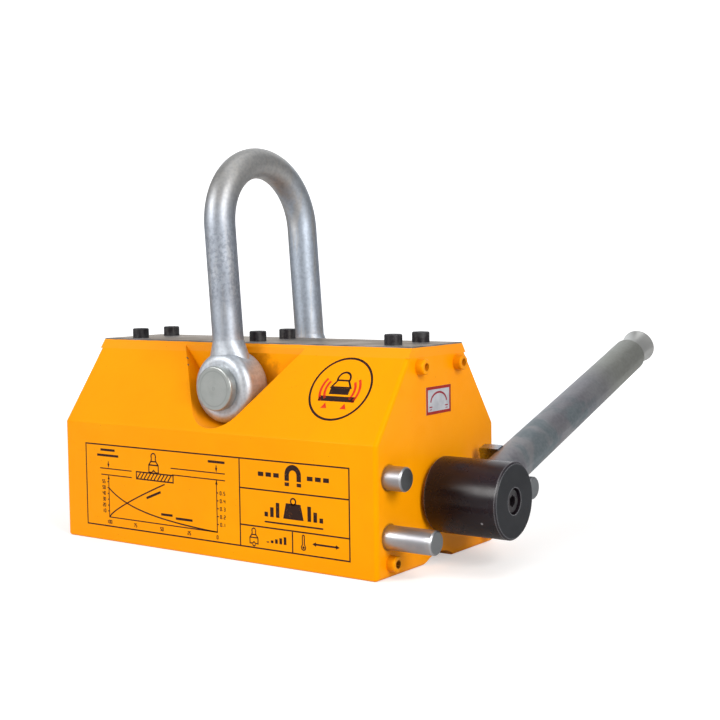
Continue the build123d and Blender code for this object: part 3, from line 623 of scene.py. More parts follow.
def sleeveMaterial(name, values, alongStart, direction):
    # patches change along the handle: the distance out from the axle is the dot product of the place
    # from there and the handle's direction
    made, shader, place = startMaterial(name, IOR=2.2, Metallic=0.9)
    out = vectorCalc("DOT_PRODUCT", centred(place, alongStart), direction)
    broad = cloud(place, 30.0, 4.0, 0.38, 0.64, 0.8)
    patches = cloud(place, 40.0, 4.0, 0.44, 0.62, 0.9)
    patches = times(patches, values["patchShare"])
    fine = cloud(place, 520.0, 4.0, 0.4, 0.62)
    blueIn = span(out, values["blueStart"] - 0.03, values["blueStart"])
    blueZone = times(blueIn, span(out, values["blueEnd"], values["blueEnd"] + 0.03, 1.0, 0.0))
    oliveZone = span(out, values["oliveStart"], values["oliveEnd"])
    colour = blendColours(broad, values["grey"], values["violet"])
    colour = blendColours(times(blueZone, patches), colour, values["blue"])
    colour = blendColours(times(oliveZone, 0.7), colour, values["olive"])
    colour = blendColours(times(fine, values["fineShare"]), colour, values["rubbed"])
    edge = edgeMasks(place, 0.0007, 0.12, 300.0, 0.6)["Edge"]
    colour = blendColours(times(edge, 0.5), colour, values["rubbed"])
    low, high = values["roughness"]
    mixed = plus(times(patches, 0.6), times(fine, 0.4))
    roughness = span(mixed, 0.0, 1.0, low, high, soft=False)
    pits = noiseAt(place, 300.0, 5.0)
    finishMaterial(shader, colour, roughness, pits, values["pitDepth"])
    return made


def turnedMaterial(name, values, centre, across):
    # bright turned steel: fine lathe rings about an axis through centre
    made, shader, place = startMaterial(name, IOR=2.4, Metallic=values["metallic"])
    about = centred(place, centre)
    marks = useGroup(rings, Vector=about, Across=across, Pitch=values["pitch"])
    smear = cloud(place, values["smearScale"], 3.0, 0.4, 0.66)
    colour = blendColours(smear, values["pale"], values["dark"])
    colour = blendColours(times(marks["Value"], 0.12), colour, values["dark"])
    edge = edgeMasks(place, 0.0006, 0.10, 400.0, 0.7)["Edge"]
    colour = blendColours(times(edge, 0.6), colour, values["rubbed"])
    if "faceX" in values:
        face = span(splitPlace(place)["X"], values["faceX"] - 0.0003, values["faceX"] - 0.0001)
        colour = blendColours(face, colour, values["face"])
    # painted shade: dark lines at the grooves' radii
    for radius, width, depth in values.get("grooves", ()):
        gap = calc("ABSOLUTE", minus(marks["Distance"], radius))
        line = span(gap, width * 0.4, width, 1.0, 0.0)
        colour = blendColours(times(line, depth), colour, values["dark"])
    low, high = values["roughness"]
    roughness = span(smear, 0.0, 1.0, low, high)
    finishMaterial(shader, colour, roughness, marks["Value"], values["markDepth"])
    return made


brightPin = {
    "pale": (0.42, 0.42, 0.435), "dark": (0.33, 0.33, 0.35), "rubbed": (0.80, 0.80, 0.80),
    "face": (0.24, 0.25, 0.26), "metallic": 1.0, "pitch": 0.0005, "smearScale": 60.0,
    "roughness": (0.38, 0.46), "markDepth": 0.000002,
}
pinHead = {
    "pale": (0.41, 0.43, 0.415), "dark": (0.29, 0.31, 0.30), "rubbed": (0.78, 0.80, 0.78),
    "metallic": 0.75, "pitch": 0.0013, "smearScale": 60.0, "roughness": (0.34, 0.46), "markDepth": 0.000012,
    "grooves": ((0.0101, 0.0006, 0.9), (0.0008, 0.0007, 0.6)),
}


blackSteel = {
    "base": (0.009, 0.006, 0.008), "brown": (0.014, 0.004, 0.003), "violet": (0.018, 0.012, 0.017),
    "face": (0.008, 0.009, 0.012), "rubbed": (0.30, 0.30, 0.32), "roughness": (0.27, 0.31),
    "nick": (0.1535, -0.0185, 0.0275), "nickSize": (0.0004, 0.0009),
}


def hubMaterial(name, values):
    # oiled black oxide: violet bloom on the barrel, brown low down at the inner end, a matt end face
    made, shader, place = startMaterial(name, IOR=1.5, Specular_IOR_Level=0.26)
    about = centred(place, (0.0, 0.0, axleZ))
    parts = splitPlace(about)
    bloom = cloud(place, 30.0, 3.0, 0.36, 0.66, 0.6)
    fine = cloud(place, 90.0, 3.0, 0.35, 0.7)
    marks = useGroup(rings, Vector=about, Across=(0.0, 1.0, 1.0), Pitch=0.0008)
    lathe = fineLines(about, (1.0, 0.02, 0.02), 1700.0)
    low = span(parts["Z"], -0.019, 0.004, 1.0, 0.0)
    inner = span(parts["X"], hubLow.x, hubLow.x + 0.028, 1.0, 0.0)
    onFace = span(parts["X"], hubHigh.x - 0.0006, hubHigh.x - 0.0002)
    colour = blendColours(bloom, values["base"], values["violet"])
    colour = blendColours(times(times(low, inner), 0.8), colour, values["brown"])
    colour = blendColours(onFace, colour, values["face"])
    edge = edgeMasks(place, 0.0010, 0.09, 160.0, 0.55)
    colour = blendColours(times(edge["Edge"], 0.55), colour, values["rubbed"])
    nick = vectorCalc("LENGTH", centred(place, values["nick"]))
    colour = blendColours(span(nick, *values["nickSize"], 1.0, 0.0), colour, values["rubbed"])
    lowRough, highRough = values["roughness"]
    roughness = span(fine, 0.0, 1.0, lowRough, highRough)
    roughness = plus(roughness, times(onFace, 0.16))
    height = plus(times(marks["Value"], onFace), times(lathe, 0.6))
    finishMaterial(shader, colour, roughness, height, 0.0000015)
    return made


def blackScrewMaterial(name, values):
    made, shader, place = startMaterial(name, IOR=1.5)
    bloom = cloud(place, 240.0, 3.0, 0.4, 0.66)
    colour = blendColours(bloom, values["base"], (0.030, 0.029, 0.030))
    edge = edgeMasks(place, 0.0005, 0.10, 500.0, 0.5)
    colour = blendColours(times(edge["Worn"], 0.7), colour, values["rubbed"])
    colour = blendColours(times(edge["Edge"], 0.14), colour, values["rubbed"])
    roughness = span(bloom, 0.0, 1.0, 0.36, 0.5)
    pits = noiseAt(place, 1500.0, 3.0)
    finishMaterial(shader, colour, roughness, pits, 0.00003)
    return made


def plainMetalMaterial(name, pale, dark, low, high, scale=120.0, metallic=1.0):
    made, shader, place = startMaterial(name, IOR=2.0, Metallic=metallic)
    smear = cloud(place, scale, 4.0, 0.38, 0.66)
    lines = fineLines(place, (0.05, 1.0, 1.0), 900.0)
    colour = blendColours(smear, pale, dark)
    roughness = span(lines, 0.3, 0.7, low, high)
    finishMaterial(shader, colour, roughness, lines, 0.00001)
    return made


def rubberMaterial(name):
    made, shader, place = startMaterial(name, IOR=1.5)
    dust = cloud(place, 500.0, 3.0, 0.45, 0.7)
    colour = blendColours(dust, (0.012, 0.012, 0.012), (0.05, 0.05, 0.05))
    finishMaterial(shader, colour, span(dust, 0.0, 1.0, 0.6, 0.8), dust, 0.00002)
    return made


def inkMaterial(name, ink, faded, under):
    # screen-printed ink, a little uneven, with pinholes that show the ground under it
    made, shader, place = startMaterial(name, IOR=1.5, Specular_IOR_Level=0.22)
    uneven = cloud(place, 160.0, 4.0, 0.4, 0.7)
    holes = dots(place, 1500.0, 0.20, 0.42)
    colour = blendColours(times(uneven, 0.5), ink, faded)
    colour = blendColours(times(holes, 0.35), colour, under)
    finishMaterial(shader, colour, span(uneven, 0.0, 1.0, 0.42, 0.56), uneven, 0.000005)
    return made


def filmMaterial(name):
    made, shader, place = startMaterial(name, IOR=1.5, Coat_Weight=0.2)
    soil = cloud(place, 110.0, 5.0, 0.42, 0.7)
    colour = blendColours(soil, (0.46, 0.47, 0.50), (0.36, 0.365, 0.40))
    finishMaterial(shader, colour, span(soil, 0.0, 1.0, 0.32, 0.5), soil, 0.00001)
    return made


handleLow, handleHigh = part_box("handle_sleeve")
handleX = (handleLow.x + handleHigh.x) / 2
slideAxis = Vector([joint["axis"] for joint in frame["joints"] if joint["name"] == "sleeve_slide"][0])

paintPole = poleMaterial("yellowPaint", paint, recess)
# Y, Z and share of the painted shade and dirt in the sockets of the end screws, mirrored to the other side
screwPlaces = ((0.0195, 0.109, 0.30), (0.049, 0.008, 0.85))


def ringRound(node, width):
    low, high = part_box(node)
    middle = (low + high) / 2
    return middle.y, middle.z, (high.z - low.z) / 2, width


# circles for the painted shadow round the stop pins and the catch pin
pinShadowRings = [ringRound(node, 0.0012) for node in ("front_stop_pin", "rear_stop_pin", "catch_pin")]
paintPlate = paintMaterial("yellowPaintHandleEnd", paint, rings=pinShadowRings)
paintFar = paintMaterial("yellowPaintFarEnd", paint)
screwPaint = {**paint, "edgeRadius": 0.0005, "colour": (0.80, 0.27, 0.002), "deep": (0.60, 0.18, 0.002)}
paintScrew = paintMaterial("yellowPaintScrews", screwPaint, screwPlaces)
inkPaint = inkMaterial("darkInk", (0.016, 0.0035, 0.0015), (0.036, 0.008, 0.002), paint["colour"])
redInk = inkMaterial("redInk", (0.62, 0.025, 0.004), (0.75, 0.06, 0.01), paint["colour"])
borderInk = inkMaterial("borderInk", (0.30, 0.014, 0.012), (0.38, 0.03, 0.02), (0.4, 0.4, 0.42))
archInk = inkMaterial("archInk", (0.26, 0.016, 0.032), (0.32, 0.04, 0.06), (0.42, 0.42, 0.45))
blackScrews = blackScrewMaterial("blackOxideScrews", blackSteel)
bronze = plainMetalMaterial("bronze", (0.50, 0.27, 0.10), (0.33, 0.16, 0.06), 0.3, 0.5)
stainless = plainMetalMaterial("stainlessSteel", (0.55, 0.55, 0.54), (0.42, 0.42, 0.42), 0.28, 0.46)
nickel = plainMetalMaterial("nickelPlate", (0.62, 0.59, 0.54), (0.48, 0.46, 0.43), 0.14, 0.28, 40.0)
machined = plainMetalMaterial("machinedSteel", (0.42, 0.42, 0.42), (0.30, 0.30, 0.31), 0.3, 0.5)
knobZinc = {
    **sleeveZinc, "grey": (0.52, 0.52, 0.51), "violet": (0.42, 0.415, 0.415), "olive": (0.52, 0.52, 0.50),
    "rubbed": (0.22, 0.22, 0.22), "fineShare": 0.0, "pitDepth": 0.000006, "roughness": (0.34, 0.38),
}
handleStart = (handleX, 0.0, axleZ)
knobFinish = sleeveMaterial("zincKnob", knobZinc, handleStart, slideAxis)
sleeveFinish = sleeveMaterial("zincSleeve", sleeveZinc, handleStart, slideAxis)


def pinMaterial(node):
    low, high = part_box(node)
    middle = (low + high) / 2
    values = {**brightPin, "faceX": high.x}
    return turnedMaterial(node + "Finish", values, (0.0, middle.y, middle.z), (0.0, 1.0, 1.0))


finishes = {
    "front_pole_block": paintPole, "rear_pole_block": paintPole,
    "top_plate": topPlateMaterial("bareTopPlate", bareTop, paint),
    "handle_end_plate": paintPlate, "far_end_plate": paintFar,
    "handle_end_screws": paintScrew, "far_end_screws": paintScrew,
    "top_plate_screws": blackScrews, "rotor_cap_screws": blackScrews, "hub_screw": blackScrews,
    "hub_washer": blackScrews, "guide_screw": blackScrews,
    "pole_separator": stainless, "stator_spacer": stainless,
    "drive_shaft": stainless, "tail_shaft": stainless,
    "stator_magnets": nickel, "rotor_magnets": nickel,
    "rotor_front_pole": machined, "rotor_rear_pole": machined, "hub_key": machined,
    "drive_bush": bronze, "tail_bush": bronze,
    "front_stop_pin": pinMaterial("front_stop_pin"), "rear_stop_pin": pinMaterial("rear_stop_pin"),
    "catch_pin": pinMaterial("catch_pin"),
    "shackle_pin": turnedMaterial("pinHeadSteel", pinHead, (0.0, 0.0, pinZ), (1.0, 0.0, 1.0)),
    "shackle_pin_collar": turnedMaterial("collarSteel", pinHead, (0.0, 0.0, pinZ), (1.0, 0.0, 1.0)),
    "shackle": zincMaterial("zincShackle", zincShackle),
    "latch_key": zincMaterial("zincKey", zincKey),
    "hub": hubMaterial("blackOxideHub", blackSteel),
    "handle_sleeve": sleeveFinish, "grip_knob": knobFinish, "handle_rod": sleeveFinish,
    "drag_ring": rubberMaterial("rubber"),
    "end_label": filmMaterial("greyFilm"),
}
for node, finish in finishes.items():
    nodes[node].data.materials.clear()
    nodes[node].data.materials.append(finish)
print("finishes: done")


# printed artwork
# Strokes are thin closed slabs. On each label they are drawn in a flat frame, in millimetres,
# and then set on the surface.

class Drawing:
    def __init__(self):
        self.points = []
        self.faces = []
        self.count = 0

    def keep(self, points, faces):
        self.points.append(points)
        self.faces.extend((np.asarray(block) + self.count).tolist() for block in faces)
        self.count += len(points)

    def slab(self, outline):
        # a closed slab over a convex outline, which the shoelace sum shows to run anticlockwise
        outline = np.asarray(outline, float)
        x, y = outline.T
        if np.sum(x * np.roll(y, -1) - y * np.roll(x, -1)) < 0:
            outline = outline[::-1]
        count = len(outline)
        low = np.arange(count)
        after = np.roll(low, -1)
        sides = np.column_stack([low, after, count + after, count + low])
        points = np.column_stack([np.concatenate([outline, outline]), np.repeat([0.0, 1.0], count)])
        self.keep(points, [low[None, ::-1], count + low[None, :], sides])

    def ribbon(self, line, width, closed=False):
        # a closed slab that follows a line: each point moves to both sides by half the width along the
        # corner's mitre, which is the sum of the two side normals over one plus their dot product
        line = np.asarray(line, float)
        ahead = np.roll(line, -1, axis=0) - line
        if not closed:
            ahead[-1] = ahead[-2]
        side = np.column_stack([-ahead[:, 1], ahead[:, 0]]) / np.linalg.norm(ahead, axis=1)[:, None]
        before = np.roll(side, 1, axis=0)
        if not closed:
            before[0] = side[0]
        mitre = (side + before) / np.maximum(1 + np.sum(side * before, axis=1), 0.4)[:, None]
        sides = [line + mitre * width / 2, line - mitre * width / 2]
        count = len(line)
        flat = np.concatenate(sides + sides)
        points = np.column_stack([flat, np.repeat([0.0, 1.0], 2 * count)])
        here = np.arange(count if closed else count - 1)
        after = (here + 1) % count
        low, lowRight, high, highRight = (count * k for k in range(4))
        quads = [(high, highRight), (lowRight, low), (low, high), (highRight, lowRight)]
        faces = [np.column_stack([a + here, b + here, b + after, a + after]) for a, b in quads]
        if not closed:
            last = count - 1
            faces.append(np.array([[low, lowRight, highRight, high],
                                   [high + last, highRight + last, lowRight + last, low + last]]))
        self.keep(points, faces)

    def bar(self, left, right, low, high):
        self.slab([(left, low), (right, low), (right, high), (left, high)])

    def outline(self, left, right, low, high, width):
        # a closed ribbon round a rectangle
        self.ribbon([(left, low), (right, low), (right, high), (left, high)], width, closed=True)

    def arc(self, centre, radius, start, end, width, steps=32):
        # points at the centre plus the radius turned from start to end degrees
        turn = np.radians(np.linspace(start, end, steps))
        closed = abs(end - start) >= 360
        line = np.column_stack([centre[0] + radius * np.cos(turn), centre[1] + radius * np.sin(turn)])
        self.ribbon(line[:-1] if closed else line, width, closed)

    def arrow(self, tip, direction, length, width):
        tip, direction = np.array(tip, float), np.array(direction, float)
        side = np.array([-direction[1], direction[0]])
        base = tip - direction * length
        self.slab([tip, base + side * width / 2, base - side * width / 2])


ink = {                        # metres
    "thickness": 0.00004,
    "lift": 0.00002,           # over the paint
}


def placeDrawing(name, drawing, ground, finish, replaced=None):
    # point = origin + x times xAxis + y times yAxis + height along their cross product
    origin, xAxis, yAxis, lift = (np.array(value, float) for value in ground)
    points = np.concatenate(drawing.points)
    height = lift + points[:, 2:3] * ink["thickness"]
    place = origin + points[:, :1] * mm * xAxis + points[:, 1:2] * mm * yAxis
    place = place + height * np.cross(xAxis, yAxis)
    mesh = bpy.data.meshes.new(name)
    mesh.from_pydata(place.tolist(), [], [face for block in drawing.faces for face in block])
    made = bpy.data.objects.new(name, mesh)
    bpy.context.scene.collection.objects.link(made)
    mesh.materials.append(finish)
    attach(made, "housing")
    if replaced:
        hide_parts(replaced)


# strokes of the plain figures, on a grid one wide and two high
figureStrokes = {
    "0": [(0, 0), (1, 0), (1, 2), (0, 2), (0, 0)],
    "1": [(0.5, 0), (0.5, 2)],
    "2": [(0, 2), (1, 2), (1, 1), (0, 1), (0, 0), (1, 0)],
    "3": [(0, 2), (1, 2), (1, 1), (0.3, 1), (1, 1), (1, 0), (0, 0)],
    "4": [(0, 2), (0, 1), (1, 1), (1, 2), (1, 0)],
    "5": [(1, 2), (0, 2), (0, 1), (1, 1), (1, 0), (0, 0)],
    "7": [(0, 2), (1, 2), (0.4, 0)],
}


def writeFigures(drawing, text, centre, size, width):
    # each figure is size wide and twice as high, and starts 1.45 sizes after the one before
    pitch = size * 1.45
    left = centre[0] - (len(text) - 1) * pitch / 2 - size / 2
    foot = centre[1] - size
    for index, figure in enumerate(text):
        x = left + index * pitch
        if figure == ".":
            drawing.bar(x + size * 0.3, x + size * 0.7, foot, foot + size * 0.4)
            continue
        corners = np.array(figureStrokes[figure]) * size + (x, foot)
        for ends in zip(corners[:-1], corners[1:]):
            drawing.ribbon(ends, width)


lifter = {                     # in sizes of the sign, from the middle of its foot
    "bow": (1.05, 0.20, -35, 215),            # height, radius, start and end in degrees
    "neck": [(-0.17, 0.92), (-0.22, 0.72), (0.22, 0.72), (0.17, 0.92)],
    "body": [(-0.22, 0.72), (-0.42, 0.48), (-0.42, 0), (-0.16, 0), (0, 0.14), (0.16, 0), (0.42, 0),
             (0.42, 0.48), (0.22, 0.72)],
    "waist": [(-0.42, 0.48), (0.42, 0.48)],
}


def lifterIcon(drawing, x, z, size, width):
    # a bow on a bottle-shouldered body that stands on two feet: the foot plus size times each point
    height, radius, start, end = lifter["bow"]
    drawing.arc((x, z + size * height), size * radius, start, end, width)
    for line in ("neck", "body", "waist"):
        drawing.ribbon(np.array(lifter[line]) * size + (x, z), width)


panel = {                      # millimetres
    "line": 0.80,
    "thin": 0.62,
    "divider": 23.8,
    "rows": (41.8, 21.2),      # the two rules across the right-hand part
    "split": 60.6,
    "plate": (-55.9, -26.4, 39.9, 44.1),      # left, right, foot and top
    "hatches": (10, 2.72, 2.6, 0.75),         # count, pitch, run and width
    "hatchInset": (0.8, 0.4),
    "lifter": (-41.8, 44.6, 9.0),             # middle, foot and size
    "captions": (              # middle, height and width of the plain bars that stand where captions would be
        (-79.6, 55.2, 12.0),
        (-79.6, 51.9, 18.0),
        (6.9, 54.6, 12.5),
        (-32.0, 20.6, 9.0),
        (-18.5, 19.3, 13.0),
    ),
    "caption": 1.4,
    "slantCaption": ((-48.0, 29.0), (-36.5, 33.6)),
}
chart = {                      # millimetres
    "axes": (-79.2, 6.8),
    "foot": 14.7,
    "tops": (40.2, 44.6),
    "pitch": (3.55, 26.9 / 6),
    "tick": 1.2,
    "upFigures": (("10", "20", "30", "40", "50", "55"), ("0.1", "0.2", "0.3", "0.4", "0.5")),
    "footFigures": ("100", "75", "50", "25", "0"),
    "figureGap": (4.2, 4.3, 2.9),             # from the left axis, the right axis and the foot
    "figure": 0.95,                           # width of a figure
    "stroke": 0.42,
    "rise": (46.0, 23.7, 0.72),               # run, height and bend
    "fall": (17.6, 1.15, 2.6),                # height, power and sag
}
gauges = {                     # millimetres; heights are over the lower rule
    "rules": ((-85.4, -59.8, 40.2), (-27.2, 13.2, 44.5)),     # start, end and height of each lower rule
    "upper": (1.0, 3.8),                      # how much sooner the upper rule starts, and its height
    "arrows": ((4.2, -1, 2.6), (-0.2, 1, 2.4)),               # tip, direction and length
    "arrowWidth": 1.8,
    "tail": (6.6, 8.2),
}
signs = {                      # millimetres
    "magnet": ((61.4, 50.2), 5.6, 3.0),       # centre, radius and thickness
    "barRows": (                              # left end of the first bar, width, pitch, foot and tops
        (48.0, 3.8, -5.4, 49.4, (51.8, 51.8, 51.8)),
        (71.0, 3.8, 5.4, 49.4, (51.8, 51.8, 51.8)),
        (41.4, 2.4, 4.0, 27.4, (30.0, 32.8, 35.6)),
        (71.0, 2.4, 4.0, 27.4, (35.6, 32.8, 30.0)),
        (42.5, 1.8, 3.0, 13.0, (13.6, 14.5, 15.4, 16.3, 17.2)),
    ),
    "weight": ((54.4, 27.4), (68.4, 27.4), (66.4, 36.0), (56.4, 36.0)),
    "weightRing": ((61.4, 37.2), 1.7, 0, 360, 0.9),           # centre, radius, start, end and width
    "ground": (41.4, 81.4, 24.0, 24.9),
    "line": 0.64,
    "lifter": (33.5, 11.4, 6.8),
    "cup": ((33.5, 10.9), 0.9, 180, 360),
    "thermometer": (68.0, 11.6),
    "doubleArrow": (74.0, 92.0, 15.6),        # ends and height
    "tip": 2.4,
}


def drawPanelRules(made, values):
    # the outline, the divider, the rules to the right of it and the hatched plate
    left, right, low, high = (edge / mm for edge in (panelLow.x, panelHigh.x, panelLow.z, panelHigh.z))
    line, divider, split = values["line"], values["divider"], values["split"]
    inset = line / 2
    made.outline(left + inset, right - inset, low + inset, high - inset, line)
    made.bar(divider - inset, divider + inset, low + line, high - line)
    for z in values["rows"]:
        made.bar(divider + inset, right - line, z - inset, z + inset)
    made.bar(split - inset, split + inset, low + line, values["rows"][1] - inset)
    plateLeft, plateRight, foot, top = values["plate"]
    made.outline(plateLeft, plateRight, foot, top, line)
    count, pitch, run, width = values["hatches"]
    sideInset, endInset = values["hatchInset"]
    for index in range(count):
        x = plateLeft + sideInset + index * pitch
        made.ribbon([(x, foot + endInset), (x + run, top - endInset)], width)
    lifterIcon(made, *values["lifter"], line)


def drawScale(made, values, thin, which):
    # ticks and figures up one axis, on its outer side
    x, side = values["axes"][which], (-1, 1)[which]
    for index, text in enumerate(values["upFigures"][which], 1):
        z = values["foot"] + index * values["pitch"][which]
        left, right = sorted((x + side * thin / 2, x + side * values["tick"]))
        made.bar(left, right, z - thin / 2, z + thin / 2)
        place = (x + side * values["figureGap"][which], z)
        writeFigures(made, text, place, values["figure"], values["stroke"])


def drawChart(made, values, line, thin):
    leftAxis, rightAxis = values["axes"]
    leftTop, rightTop = values["tops"]
    foot = values["foot"]
    made.ribbon([(leftAxis, leftTop), (leftAxis, foot), (rightAxis, foot), (rightAxis, rightTop)], thin)
    drawScale(made, values, thin, 0)
    drawScale(made, values, thin, 1)
    footX = np.linspace(leftAxis, rightAxis, len(values["footFigures"]))
    for x, text in zip(footX, values["footFigures"]):
        writeFigures(made, text, (x, foot - values["figureGap"][2]), values["figure"], values["stroke"])
    # one curve is a blend of a root and a straight line, and the other falls as a power over one plus a share
    share = np.linspace(0.0, 1.0, 30)
    run, height, bend = values["rise"]
    rise = foot + height * (bend * share**bend + (1 - bend) * share)
    made.ribbon(np.column_stack([leftAxis + share * run, rise]), line)
    height, power, sag = values["fall"]
    fall = foot + height * (1 - share) ** power / (1 + sag * share)
    made.ribbon(np.column_stack([leftAxis + share * (rightAxis - leftAxis), fall]), line)


def drawGauges(made, values, thin):
    # a pair of rules over each axis, with an arrow down to the upper one and an arrow up to the lower one
    half = thin / 2
    sooner, above = values["upper"]
    for (start, end, z), x in zip(values["rules"], chart["axes"]):
        made.bar(start, end, z - half, z + half)
        made.bar(start - sooner, end, z + above - half, z + above + half)
        for tip, direction, length in values["arrows"]:
            made.arrow((x, z + tip), (0, direction), length, values["arrowWidth"])
        low, high = values["tail"]
        made.bar(x - half, x + half, z + low, z + high)


def drawSigns(made, values):
    # a magnet between dashes, a weight between bars, and a lifter, steps, a thermometer and a double arrow
    horseshoe(made, *values["magnet"])
    for start, width, pitch, foot, tops in values["barRows"]:
        for index, top in enumerate(tops):
            left = start + index * pitch
            made.bar(left, left + width, foot, top)
    made.slab(values["weight"])
    made.arc(*values["weightRing"])
    made.bar(*values["ground"])
    lifterIcon(made, *values["lifter"], values["line"])
    made.arc(*values["cup"], values["line"], 12)
    thermometer(made, *values["thermometer"], values["line"])
    left, right, z = values["doubleArrow"]
    tip = values["tip"]
    made.arrow((right, z), (1, 0), tip, tip)
    made.arrow((left, z), (-1, 0), tip, tip)
    made.bar(left + 2.0, right - 2.0, z - 0.5, z + 0.5)


def horseshoe(drawing, centre, radius, thickness):
    # an arch on two legs, with the pole tips set off by a gap
    x, z = centre
    half = thickness / 2
    drawing.arc((x, z + radius * 0.25), radius - half, 0, 180, thickness, 24)
    for leg in (x - radius + half, x + radius - half):
        for low, high in ((-0.35, 0.25), (-0.85, -0.5)):
            drawing.bar(leg - half, leg + half, z + radius * low, z + radius * high)


def thermometer(drawing, x, z, width):
    # an open bulb with a dot in it, two sides and a round top
    bulb, stem, shoulder, top = 1.4, 0.7, 2.6, 7.4
    drawing.arc((x, z + bulb), bulb, 120, 420, width)
    for side in (-stem, stem):
        drawing.ribbon([(x + side, z + shoulder), (x + side, z + top)], width)
    drawing.arc((x, z + top), stem, 0, 180, width, 12)
    drawing.arc((x, z + bulb), stem / 2, 0, 360, stem, 16)


def drawPanel(values):
    made = Drawing()
    line, thin = values["line"], values["thin"]
    drawPanelRules(made, values)
    drawChart(made, chart, line, thin)
    drawGauges(made, gauges, thin)
    for x, z, width in values["captions"]:
        half = values["caption"] / 2
        made.bar(x - width / 2, x + width / 2, z - half, z + half)
    made.ribbon(values["slantCaption"], values["caption"])
    drawSigns(made, signs)
    return made


roundSign = {                  # millimetres from the sign's middle
    "ringInset": 0.75,
    "ring": 1.3,
    "bow": ((0, 6.2), 4.1, -20, 200, 1.2, 20),
    "neck": [(-3.6, 5.2), (-6.4, 0.8), (6.4, 0.8), (3.6, 5.2)],
    "neckLine": 1.1,
    "body": (-6.4, 6.4, -3.6, 0.2),
    "plate": (-12.0, 12.0, -8.0, -4.8),
    "waves": (9.6, 12.6),      # radii of the field lines
    "waveStarts": (146, -34),  # degrees
    "waveTurn": 68,
    "waveLine": 1.5,
    "arrow": (6.4, -9.0, 3.4, 4.0),           # across, tip, length and width
}


def drawRoundSign(radius, values):
    # a ring round a lifter on a plate
    made = Drawing()
    made.arc((0, 0), radius - values["ringInset"], 0, 360, values["ring"], 72)
    made.arc(*values["bow"])
    made.ribbon(values["neck"], values["neckLine"], closed=True)
    made.bar(*values["body"])
    made.bar(*values["plate"])
    return made


def drawRoundMarks(values):
    # field lines at both sides, and small arrows that point up at the plate
    made = Drawing()
    across, tip, length, width = values["arrow"]
    for side, start in zip((-1, 1), values["waveStarts"]):
        for radius in values["waves"]:
            made.arc((0, -1.0), radius, start, start + values["waveTurn"], values["waveLine"], 14)
        made.arrow((side * across, tip), (0, 1), length, width)
    return made


endSign = {                    # millimetres from the label's middle
    "border": 1.6,
    "arch": (8.2, 5.6, -1.4),  # half width, rise and foot
    "archLine": 1.1,
    "marks": ((1.5, -3.9, -3.2), (1.1, -5.2, -4.7)),          # half width, foot and top
}


def drawEndFrame(halfWidth, halfHeight, border):
    made = Drawing()
    across, up = halfWidth - border / 2, halfHeight - border / 2
    made.outline(-across, across, -up, up, border)
    return made


def drawEndArch(values):
    # the handle's path from one side to the other, half an ellipse, with small marks in the lower corners
    made = Drawing()
    turn = np.radians(np.linspace(4, 176, 26))
    across, rise, foot = values["arch"]
    made.ribbon(np.column_stack([across * np.cos(turn), foot + rise * np.sin(turn)]), values["archLine"])
    for x in (-across, across):
        for half, low, high in values["marks"]:
            made.bar(x - half, x + half, low, high)
    return made


shoulderUp = Vector((0.0, roundHigh.y - roundLow.y, roundHigh.z - roundLow.z)).normalized()
shoulderOut = Vector((1.0, 0.0, 0.0)).cross(shoulderUp)
roundRadius = (roundHigh.x - roundLow.x) / 2 / mm
# the film's box middle lies half its thickness above the paint
roundOrigin = (roundLow + roundHigh) / 2 - shoulderOut * 0.0001
endMiddle = (endLabelLow + endLabelHigh) / 2
endHalf = (endLabelHigh - endLabelLow) / 2 / mm

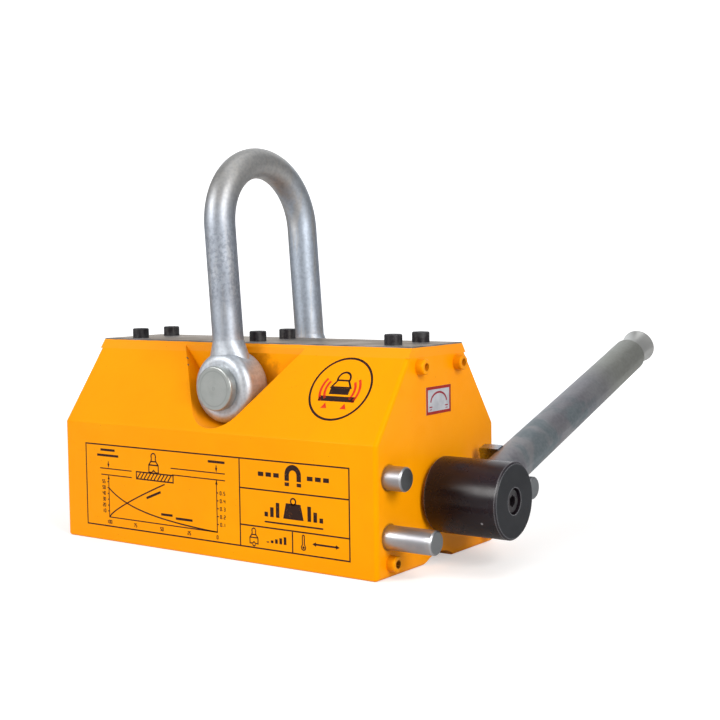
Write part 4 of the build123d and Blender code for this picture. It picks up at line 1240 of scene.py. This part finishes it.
# each ground is its origin, its two axes and the ink's lift
panelGround = ((0.0, frontY, 0.0), (1, 0, 0), (0, 0, 1), ink["lift"])
roundGround = (roundOrigin, (1, 0, 0), shoulderUp, ink["lift"])
endGround = ((endLabelHigh.x, endMiddle.y, endMiddle.z), (0, 1, 0), (0, 0, 1), 0.0)
placeDrawing("panelPrint", drawPanel(panel), panelGround, inkPaint, "rating_panel")
placeDrawing("roundPrint", drawRoundSign(roundRadius, roundSign), roundGround, inkPaint, "round_label")
placeDrawing("roundPrintMarks", drawRoundMarks(roundSign), roundGround, redInk)
placeDrawing("endLabelBorder", drawEndFrame(endHalf.y, endHalf.z, endSign["border"]), endGround, borderInk)
placeDrawing("endLabelArch", drawEndArch(endSign), endGround, archInk)
print("printed artwork: done")


# floor

def makeFloor(values):
    # a sheet that is flat, then bends up as a quarter circle and becomes a wall behind the object
    half, radius, height = values["floorHalf"], values["coveRadius"], values["wallHeight"]
    turn = np.linspace(0.0, math.pi / 2, 24)
    depth = np.concatenate([[-half * 1.4], half + radius * np.sin(turn), [half + radius]])
    level = np.concatenate([[0.0], radius * (1 - np.cos(turn)), [height]])
    # the wall faces the camera: every profile point is set at both ends of the sheet
    azimuth = math.radians(camera["azimuth"])
    away = np.array([-math.sin(azimuth), math.cos(azimuth)])
    sideways = np.array([math.cos(azimuth), math.sin(azimuth)])
    ends = np.tile([-half * 2.2, half * 2.2], len(depth))
    flat = np.repeat(depth, 2)[:, None] * away + ends[:, None] * sideways
    grid = np.column_stack([flat, np.repeat(level, 2)])
    first = 2 * np.arange(len(depth) - 1)
    faces = np.column_stack([first, first + 1, first + 3, first + 2])
    mesh = bpy.data.meshes.new("floor")
    mesh.from_pydata(grid.tolist(), [], faces.tolist())
    mesh.polygons.foreach_set("use_smooth", np.ones(len(faces), bool))
    made = bpy.data.objects.new("floor", mesh)
    bpy.context.scene.collection.objects.link(made)
    finish, shader, place = startMaterial("floorPaper", Roughness=0.9)
    tree = shader.id_data
    shader.inputs["Base Color"].default_value = (*values["floorColour"], 1.0)
    # the paper keeps a white look all round without throwing more light on the object
    distance = vectorCalc("LENGTH", place)
    glow = span(distance, *values["glowReach"], values["floorGlow"], values["farGlow"])
    seen = addNode(tree, "LightPath").outputs["Is Camera Ray"]
    shader.inputs["Emission Color"].default_value = (1.0, 1.0, 1.0, 1.0)
    tree.links.new(times(glow, seen), shader.inputs["Emission Strength"])
    mesh.materials.append(finish)


makeFloor(studio)
print("floor: done")
